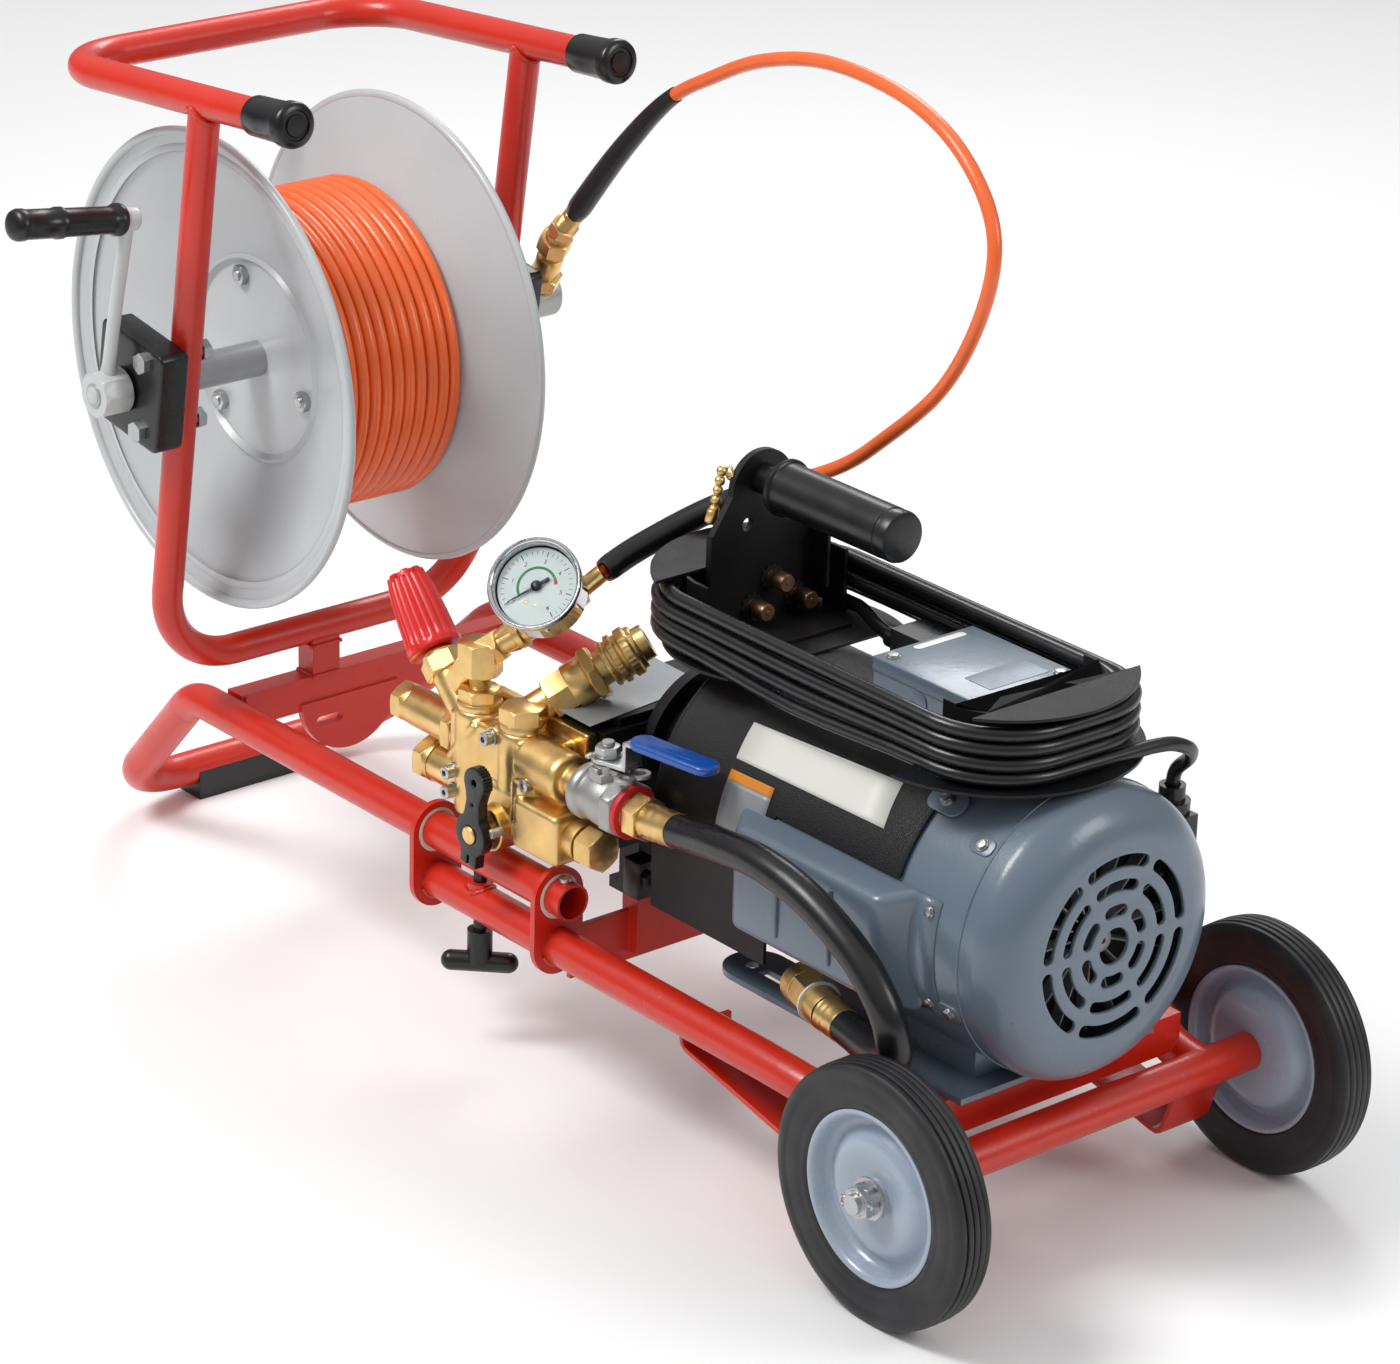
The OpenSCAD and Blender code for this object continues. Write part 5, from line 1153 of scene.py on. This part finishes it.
def labels():
    """the photograph's plates and stickers, left bare."""
    curved_label("saddle_plate", [(656, 131.5), (789, 127.5), (796, 145.5), (659, 146.3)],
                 "label_white", 98.25)
    curved_label("side_plate_top", [(659.5, 150.5), (700, 150), (700.3, 153.8), (659.4, 154.4)],
                 "label_amber")
    curved_label("side_plate", [(659.4, 154.4), (700.3, 153.8), (701.5, 171), (659, 172)],
                 "label_silver")
    p = Piece()
    p.plate([[(531.5, -106), (519, -1), (463, 1), (482, -105)]], 0.5, Matrix.Translation((0, 0, 250.2)),
            0.1)
    p.done("pump_plate", "label_silver")


# ---------- motor, saddle and switch box ----------

def screw(p, at, axis, flats, h):
    """a hexagon head with a washer under it and a slot across it."""
    at, axis = V(at), V(axis).normalized()
    top = at + axis * (0.8 + h)
    p.washer(0.05, flats * 0.62, 0.8, at, axis, 32)
    p.hexbar(at + axis * 0.8, top, flats)
    p.box((-flats * 0.45, -0.5, -0.1), (flats * 0.45, 0.5, 0.12), 0,
          frame_at(top, axis, axis.orthogonal()))


def bell_slots(r, w, half):
    """six curved slots with round ends on a circle of radius r, w wide and 2 * half degrees long."""
    h, loops = w / 2, []
    end = degrees(h / r)
    for c in range(30, 360, 60):
        a0, a1 = c - half + end, c + half - end
        first, last = circle(0, 0, r, 2, a0, a1)
        loops.append(circle(0, 0, r + h, 14, a0, a1) + circle(*last, h, 8, a1 + 18, a1 + 162)
                     + circle(0, 0, r - h, 14, a1, a0) + circle(*first, h, 8, a0 + 198, a0 + 342))
    return loops


def motor_bell():
    """the end bell, pressed and slotted, and the fan seen through it, against a near-black disc of painted shade."""
    p = Piece()
    face, x = 917, (1, 0, 0)
    p.plate([circle(0, 0, 63.6, 120), circle(0, 0, 12, 32)] + bell_slots(55.3, 8, 27)
            + bell_slots(39.6, 7.2, 25.6) + bell_slots(23.4, 7.6, 22.6), 3,
            frame_at(on_axis(face - 3), x, (0, 1, 0)), 0.7)
    quarter = [pi / 2 * k / 22 for k in range(23)]
    p.turned([(63 + 32 * sin(t), -25.2 + 25.2 * cos(t) ** 1.15) for t in quarter]
             + [(95, -37), (92, -37), (92, -26), (88, -14), (78, -6), (63, -3)], on_axis(face), x, 160)
    p.done("bell_shell", "grey_blue_paint", "motor_bell", smooth=40)
    f = Piece()
    # a near-black disc behind the fan: painted shade for the motor's dark inside
    f.washer(0.1, 74, 1, on_axis(886.6), x, 64, 1)
    for k in range(16):
        f.box((0, -0.5, 17), (9, 0.5, 64), 0,
              Matrix.Translation(on_axis(888)) @ Matrix.Rotation(k * pi / 8, 4, "X"))
    f.turned([(8, 0), (15, 0), (15.6, 3), (15, 10), (8, 10)], on_axis(888), x, 40, 1)
    f.bar([(7, 0), (7.8, 0.8), (7.8, 18), (7, 19)], on_axis(888), on_axis(907), 32)
    # a near-black dot on the shaft's end: painted shade for its centre hole
    f.turned([(0.05, 0.1), (2, 0.1), (2, 0.3), (0.05, 0.3)], on_axis(907), x, 20, 1)
    f.done("fan_blades", ["shaft_steel", "dark_gap"], smooth=40, body="rotor")


def capacitor():
    """the capacitor's cover: a pressing that tapers outwards, two shallow ribs and its flange."""
    front_y, back_y = -121.5, -96
    bm = bmesh.new()
    bmesh.ops.create_cube(bm, size=1)
    for v in bm.verts:
        front = v.co.y < 0
        x0, x1, z0, z1 = (693, 824, 174, 242) if front else (673, 845, 166.5, 249.5)
        v.co = V((x0 if v.co.x < 0 else x1, front_y if front else back_y, z0 if v.co.z < 0 else z1))
    bmesh.ops.bevel(bm, geom=bm.edges[:], offset=6.5, segments=5, profile=0.6, affect="EDGES")
    bm.verts.index_update()
    p = Piece()
    p.mesh(bm)
    for x in (735, 784):
        p.swept([(x, front_y + 0.3, 184), (x, front_y - 0.6, 196), (x, front_y - 0.6, 222),
                 (x, front_y + 0.3, 234)], 2.2, 12)
    p.done("cap_pressing", "grey_blue_paint", "capacitor_cover", smooth=50)
    sticker("cap_flange", [[radial(x, 160 + 3 * i, 95.2)[0] for x in (838, 846, 860)]
                           for i in range(17)], 1.5, "grey_blue_paint")


def motor_details():
    """the seam of the end bell with its ears, the motor's screws and the saddle's ear."""
    ears = (135, 203, 255, 315, 25)
    slope = (0, -0.59, 0.81)
    p = Piece()
    p.turned([(94.9, -1.2), (95.6, -0.8), (95.7, 0.8), (94.9, 1.2)], on_axis(880), (1, 0, 0), 160)
    for a in ears:
        p.plate([rounded(-9, -6, 10, 6, 5)], 1.4, frame_at(*radial(868, a, 94.6), (1, 0, 0)), 0.4)
    p.done("bell_seam", "grey_blue_paint", smooth=30)
    s = Piece()
    for a in ears:
        screw(s, *radial(869, a, 96), 6.6, 2.2)
    for a in (165, 202):
        screw(s, *radial(853, a, 96.6), 5.6, 1.8)
    screw(s, (827.4, -68.4, 294.8), slope, 7.5, 3)
    s.done("motor_screws", "zinc_steel")
    e = Piece()
    e.plate([rounded(-16, -9, 14, 9, 8)], 1.6, frame_at((828, -67.2, 293.3), slope, (1, 0, 0)), 0.6)
    e.done("saddle_ear", "grey_blue_paint")


def saddle_details():
    """the rolled edges at the saddle's rear, at its short skirt and at its front."""
    p = Piece()
    for x, a0, a1, n, r in ((821.4, 22, 158, 40, 1.3), (708.6, 200, 222, 40, 1.3),
                            (599.3, -40, 220, 60, 1.5)):
        p.swept([radial(x, a0 + (a1 - a0) * i / n, 97)[0] for i in range(n + 1)], r, 10, side=(1, 0, 0))
    p.done("saddle_rims", "black_wrinkle", smooth=60)


def switch_details():
    """the box's lid with turned-down edges, its screws, two bare labels and a knock-out."""
    x0, x1, y0, y1, z = 725, 823, -41, 43, 345.9
    on_lid = Matrix.Translation((0, 0, z + 2.15))
    p = Piece()
    p.box((x0, y0, z), (x1, y1, z + 2.2), 0.9)
    for a, b in (((x0, y0), (x0 + 1.2, y1)), ((x1 - 1.2, y0), (x1, y1)), ((x0, y0), (x1, y0 + 1.2)),
                 ((x0, y1 - 1.2), (x1, y1))):
        p.box((*a, z - 7), (*b, z + 1), 0.5)
    p.done("box_lid", "grey_blue_paint", "switch_lid", smooth=30)
    q = Piece()
    for x, y in ((x0 + 9, y0 + 9), (x1 - 9, y1 - 9)):
        screw(q, (x, y, z + 2.2), (0, 0, 1), 7.4, 1.2)
    q.done("lid_screws", "zinc_steel")
    c = Piece()
    c.plate([rounded(x0 + 4, -12, x0 + 10, 30, 2.8)], 0.4, on_lid, 0.15)
    c.done("lid_strip", "label_white")
    d = Piece()
    d.plate([rounded(x0 + 60, -20, x0 + 84, 30, 1.5)], 0.35, on_lid, 0.1)
    d.done("lid_plate", "tag_grey")
    k = Piece()
    k.turned([(0.1, 0), (7, 0), (7, 0.5), (6, 0.8), (0.1, 0.8)], (768, -40.2, 331), (0, -1, 0), 40)
    k.done("box_knockout", "grey_blue_paint", smooth=30)


def handle_details():
    """the rubber sleeve of the carry handle, the spare nozzles and their bead chain."""
    grip_y, grip_z, plate_x = -8, 414, 580.7
    p = Piece()
    p.bar([(16, 0.4), (18.4, 0.8), (19, 1.6), (19, 3.6), (18.2, 4.4), (17, 4.8), (16.9, 8), (17, 101),
           (16.2, 101.6), (16.1, 103), (16.9, 103.8), (17, 109.4), (16.2, 111.6), (13, 112.4)],
          (600.6, grip_y, grip_z), (713, grip_y, grip_z), 96)
    p.rod((plate_x, grip_y, grip_z), (606, grip_y, grip_z), 20)
    p.done("grip_sleeve", "black_rubber", "carry_grip", smooth=40)

    def toothed(r, h, a):
        return r * (1 + 0.11 * sin(11 * a)) if r > 7.5 else r
    n = Piece()
    for y, z in ((1, 345), (-15, 328.5), (22, 328.5)):
        n.washer(4.4, 8.6, 1.2, (plate_x, y, z), (1, 0, 0), 88, 1, flute=toothed)
        n.bar([(4.6, 0), (4.6, 5), (5.6, 6), (6.2, 7.4), (6.2, 15), (5.6, 16.4)], (580.6, y, z),
              (597, y, z), 40)
        n.bar([(1.4, 0), (1.6, 0.3)], (597, y, z), (597.4, y, z), 16)
        n.pin((575.5, y, z), (580.6, y, z), 4, 5, 24)
    n.done("nozzles", ["brass_dark", "dark_gap"], "spray_nozzles", smooth=40, slot="brass")
    c = Piece()
    top = V((570, -34, 421))
    for i in range(6):
        c.turned([(0.05, -3.5)] + circle(0, 0, 3.5, 11, -75, 75) + [(0.05, 3.5)],
                 top + V((-0.5, -1, -6.4)) * i, (0, 0, 1), 24)
    c.swept([top, top + V((-2.5, -5, -32))], 1.1, 8)
    c.bar([(3.4, 0), (3.9, 1), (3.9, 8), (3.2, 9)], top + V((-2.2, -4.4, -26)), top + V((-3, -6, -35)),
          24)
    c.swept([top + V((3.3 * sin(k * pi / 8) + 3, 4, 4.5 * cos(k * pi / 8) - 1)) for k in range(15)],
            0.9, 8)
    c.swept([top, V((575.8, -29, 418))], 1.6, 10)
    c.done("bead_chain", "brass", "nozzle_chain", smooth=60)


# ---------- reel, crank and stand ----------

def reel_details():
    """the pressed ring and rolled rim of each flange, and the hub's bolts."""
    p = Piece()
    for rim, s in FLANGES:
        for profile, y in (([(148, -0.6), (150.5, -0.88), (153.5, -0.88), (156, 0.2), (152, 1.0)],
                            rim + s * dish(152)), (circle(163, 0, 3.1, 18), rim + s * 1.5)):
            p.turned(profile, (REEL_X, y, REEL_Z), (0, s, 0), 160 if len(profile) < 6 else 180)
    p.done("flange_rings", "flange_paint", smooth=60, body="reel")
    b = Piece()
    for x, z in circle(REEL_X, REEL_Z, 58, 3, 105, 345):
        for y, d in ((-110.7, -1), (-32.5, 1)):
            b.hexbar((x, y, z), (x, y + d * 5, z), 12.6)
            b.bar([(3.8, 0), (3.8, 1.2), (3.2, 1.8)], (x, y + d * 4.9, z), (x, y + d * 6.7, z), 20)
    b.done("hub_bolts", "zinc_steel", "flange_bolts", smooth=40, body="reel")


def crank():
    """the cast crank arm with its eight-sided boss, and the grip that turns on its rod."""
    y = BLOCK_Y[0] - 13

    def eight(r, h, a):
        return min(r, 15.2 / cos(radians(degrees(a) % 45 - 22.5)))
    p = Piece()
    p.bar([(15, 0), (16.4, 1.4), (16.4, 20), (15, 22)], (REEL_X, y - 11, REEL_Z),
          (REEL_X, y + 11, REEL_Z), 96, flute=eight)
    line = route([(170, y, 404), (171.5, y, 416), (174.5, y + 0.4, 434), (178.5, y + 0.9, 455),
                  (185, y + 1.8, 486), (191, y + 2.6, 513), (194, y + 3, 527)], 6)
    n = len(line) - 1
    p.swept(line, [4.6 + 4.4 * max(0, 1 - i / n / 0.26) ** 1.6 for i in range(n + 1)], 28,
            side=(0, 1, 0))
    end, u = V((194, y + 3, 526)), V((10, -100, 16)).normalized()
    p.bar([(6.4, 0), (7.8, 1.4), (7.8, 11), (6.6, 12.6)], end - u * 6.4, end + u * 6.2)
    p.rod(end, end + u * 90, 7.9)
    p.bar([(6, 0), (6.2, 1.2), (4, 3)], (REEL_X, y - 11, REEL_Z), (REEL_X, y - 14, REEL_Z))
    p.done("crank_casting", "crank_paint", "crank_arm", smooth=40, body="reel")
    h = Piece()
    h.turned([(4.1, 0), (10.4, 0), (11, 1), (10.9, 5), (9.4, 7), (9.2, 12), (9.4, 30), (9.6, 49),
              (10.6, 50), (10.6, 54), (9.8, 55), (9.9, 68), (10, 80), (10.6, 81), (10.7, 85),
              (9.8, 87.4), (7.4, 89), (4, 89.5), (0.1, 89.6), (0.1, 84), (4.1, 84)], end + u * 7, u, 96)
    h.done("crank_handle", "black_handle", "crank_grip", smooth=40, body="crank")


def weld(p, points, r=1.5, sides=8):
    """a bead of slightly uneven width."""
    p.swept(points, [r * (1 + 0.16 * sin(i * 2.1)) for i in range(len(points))], sides)


def ribbon(points, half):
    """the closed outline of a strip of even thickness along 2D points."""
    pts = [V((x, y, 0)) for x, y in points]
    sides = [[], []]
    for i, p in enumerate(pts):
        t = (pts[min(i + 1, len(pts) - 1)] - pts[max(i - 1, 0)]).normalized()
        n = V((-t.y, t.x, 0)) * half
        sides[0].append(tuple((p + n).xy))
        sides[1].append(tuple((p - n).xy))
    return sides[0] + sides[1][::-1]


def cut_copy(node, planes, gone):
    """a copy of a CAD node's mesh in mm, cut along planes, less the faces that gone(centre) names."""
    bm = bmesh.new()
    bm.from_mesh(NODES[node].data)
    bm.transform(Matrix.Scale(1000, 4) @ NODES[node].matrix_world)
    bmesh.ops.remove_doubles(bm, verts=bm.verts, dist=0.005)
    for axis, value in planes:
        n = [0, 0, 0]
        n[axis] = 1
        bmesh.ops.bisect_plane(bm, geom=bm.verts[:] + bm.edges[:] + bm.faces[:],
                               plane_co=[value * k for k in n], plane_no=n)
    bmesh.ops.delete(bm, geom=[f for f in bm.faces if gone(f.calc_center_median())], context="FACES")
    bmesh.ops.holes_fill(bm, edges=[e for e in bm.edges if e.is_boundary], sides=0)
    bm.verts.index_update()
    return bm


def cart_frame():
    """the drive half's frame: the CAD shape up to the rear bay, then tubes bent in and down to
    the axle tube, and a bent strap runner under each side; the pump's posts end in black."""
    bay, tail, outer, inner, post_top = 650, 820, 119.6, 106, 124

    def gone(c):
        return ((c.x > bay and abs(c.y) > outer) or (c.x > tail and abs(c.y) > inner)
                or (526 < c.x < 550 and abs(c.y) < 90 and c.z > post_top))
    p = Piece()
    p.mesh(cut_copy("drive_frame", ((0, bay), (0, tail), (1, outer), (1, -outer), (1, inner),
                                    (1, -inner), (2, post_top)), gone))
    p.rod((WHEEL_X, -148, WHEEL_Z), (WHEEL_X, 148, WHEEL_Z), 25.4)
    tube = [(640, TUBE_Y, TUBE_Z), (700, TUBE_Y, TUBE_Z), (752, TUBE_Y, TUBE_Z), (790, 131.5, 102.4),
            (822, 122.5, 94), (850, 113.5, 87.2), (870, 110.6, 84.7), (WHEEL_X, 110, WHEEL_Z)]
    strap = ribbon([(658.5, 93.6), (658.5, 86), (659.4, 82.4), (661.6, 80.2), (665, 79), (760, 58.4),
                    (861, 36.6), (865.6, 36.2), (869, 38), (871, 41.4), (876, 56), (882, 73)], 1.7)
    for s, y in ((-1, -90), (1, 131)):
        p.swept(route([(x, s * w, z) for x, w, z in tube], 8), 12.73, 40)
        p.plate([strap], 41, frame_at((0, y, 0), (0, -1, 0), (1, 0, 0)), 0.5)
    p.done("cart_frame", "red_paint", "drive_frame")
    k = Piece()
    for y in (-75, 40):
        k.box((530, y, 123.5), (546, y + 16, 150), 1)
        k.hexbar((546, y + 8, 137), (551, y + 8, 137), 12)
        k.rod((551, y + 8, 137), (554, y + 8, 137), 7)
    k.done("pump_posts", "black_handle")


def wrap_plates():
    """the cord wrap with its upper rear horn cut back clear of the box lid."""
    edge = 856
    p = Piece()
    p.mesh(cut_copy("cord_wrap", ((0, edge), (2, 357)), lambda c: 830 < c.x < edge and c.z > 357))
    p.done("wrap_plates", "black_wrinkle", "cord_wrap")


HANDLE_X, HANDLE_Z = 159.5 + 0.149 * 418.1, 604.7      # where each upright meets the handle


def stand_details():
    """weld beads: uprights to the handle, the post, the crossbar, then the cart's own."""
    lean, across = V((0.149, 0, 1)).normalized(), V((1, 0, -0.149)).normalized()
    p = Piece()
    for y in STANDS:
        ring = around((HANDLE_X, y, HANDLE_Z), 11.1, 48, across)
        weld(p, [q - lean * (10.6 * sqrt(max(0.02, 1 - 0.96 * sin(pi * k / 24) ** 2)) + 0.6)
                 for k, q in enumerate(ring)], 1.9, 10)
    corners = [(150, -64.4), (169, -64.4), (169, -40.6), (150, -40.6)]
    for z in (152.8, 175.5):
        square = [V((*a, z)).lerp(V((*b, z)), i / 12) for a, b in zip(corners, corners[1:] + corners[:1])
                  for i in range(12)]
        weld(p, square + square[:1])
    for s in (-1, 1):
        for x in (149.6, 167.4):
            weld(p, [(x, s * (121.4 - 0.002 * (z - 140) ** 2), z) for z in range(129, 153, 2)], 1.6)
    p.done("stand_welds", "red_paint", smooth=60, body="reel_half")
    q = Piece()
    for s in (-1, 1):
        for x in (402.4, 407.6, 532.4, 537.6):
            weld(q, around((x, s * TUBE_Y, TUBE_Z), 13, 36, (0, 1, 0), (0, 0, 1), 200, 340))
        nut = around((454, s * TUBE_Y, 118.2), 9.6, 36)
        for v in nut:
            v.z -= (v.y - s * TUBE_Y) ** 2 / 25.4
        weld(q, nut, 1.4)
    q.done("frame_welds", "red_paint", smooth=60)


def caps():
    """the ribbed rubber caps on the ends of the handle."""
    profile = [(11.15, -41), (12.6, -40.6), (13.4, -39.4), (13.6, -24), (14, -10), (15, -6.4),
               (15.3, -5), (15.3, 0.4), (14.6, 2.4), (13, 3.4), (10.2, 3.8), (9.6, 2.2),
               (7.4, 2.0), (6.8, 3.2), (0.05, 3.4)]
    rise, end = 0.08, 320
    p = Piece()
    for y in STANDS:
        p.turned(profile, (end, y, HANDLE_Z + rise * (end - HANDLE_X)), (1, 0, rise), ring=False)
    p.done("end_caps", "black_rubber", "handle_caps", smooth=40, body="reel_half")


def bearing_details():
    """the two black bearing blocks, leaning with the uprights."""
    lean = Matrix.Rotation(radians(8.5), 4, "Y") @ Matrix.Rotation(radians(-90), 4, "X")
    p = Piece()
    for y, thick in zip(BLOCK_Y, (22, 12)):
        p.plate([rounded(-36, -36, 36, 36, 5.5)], thick, Matrix.Translation((175, y, 403)) @ lean, 1.8)
    p.done("bearing_blocks", "black_handle", "reel_bearings", smooth=40, body="reel_half")


labels()
motor_bell()
capacitor()
motor_details()
saddle_details()
switch_details()
handle_details()
reel_details()
crank()
cart_frame()
wrap_plates()
stand_details()
caps()
bearing_details()


# ---------- stage ----------

def stage():
    """a pale floor, a soft studio sky and three area lights."""
    me = bpy.data.meshes.new("floor")
    me.from_pydata([(-6, -6, 0), (6, -6, 0), (6, 6, 0), (-6, 6, 0)], [], [(0, 1, 2, 3)])
    floor = bpy.data.objects.new("floor", me)
    g = Graph("floor_pale")
    g.join(g.ramp(g.noise(0.8, 2), [(0.3, (0.9, 0.9, 0.9)), (0.7, (0.93, 0.93, 0.93))]),
           g.shader.inputs["Base Color"])
    g.shader.inputs["Roughness"].default_value = 0.75
    me.materials.append(g.mat)
    scene.collection.objects.link(floor)
    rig.stage(floor)
    world = bpy.data.worlds.new("studio")
    world.use_nodes = True
    t = world.node_tree
    sky = t.nodes["Background"]
    coords, split = t.nodes.new("ShaderNodeTexCoord"), t.nodes.new("ShaderNodeSeparateXYZ")
    ramp = t.nodes.new("ShaderNodeValToRGB")
    t.links.new(coords.outputs["Generated"], split.inputs["Vector"])
    t.links.new(split.outputs["Z"], ramp.inputs["Fac"])
    stops = ramp.color_ramp.elements
    stops[0].position, stops[0].color = 0.0, (0.22, 0.22, 0.23, 1)
    stops[1].position, stops[1].color = 0.85, (0.95, 0.95, 0.95, 1)
    t.links.new(ramp.outputs["Color"], sky.inputs["Color"])
    sky.inputs["Strength"].default_value = 0.78
    scene.world = world
    for name, at, aim, size, power in (
            ("key", (-0.1, -1.5, 2.3), (0.45, 0, 0.25), 0.9, 44),
            ("side", (2.5, 0.9, 1.5), (0.6, 0, 0.2), 0.8, 13),
            ("rim", (-0.9, 1.7, 2.1), (0.4, 0, 0.3), 1.0, 22)):
        light = bpy.data.lights.new(name, "AREA")
        light.energy, light.size = power, size
        o = bpy.data.objects.new(name, light)
        o.location = at
        o.rotation_euler = (V(aim) - V(at)).to_track_quat("-Z", "Y").to_euler()
        scene.collection.objects.link(o)
    scene.view_settings.view_transform = "Standard"


stage()

json.dump({"cad": [list(map(float, c)) for c in cad_box],
           "visual": [list(map(float, c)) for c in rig.bounds()]}, open("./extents.json", "w"))
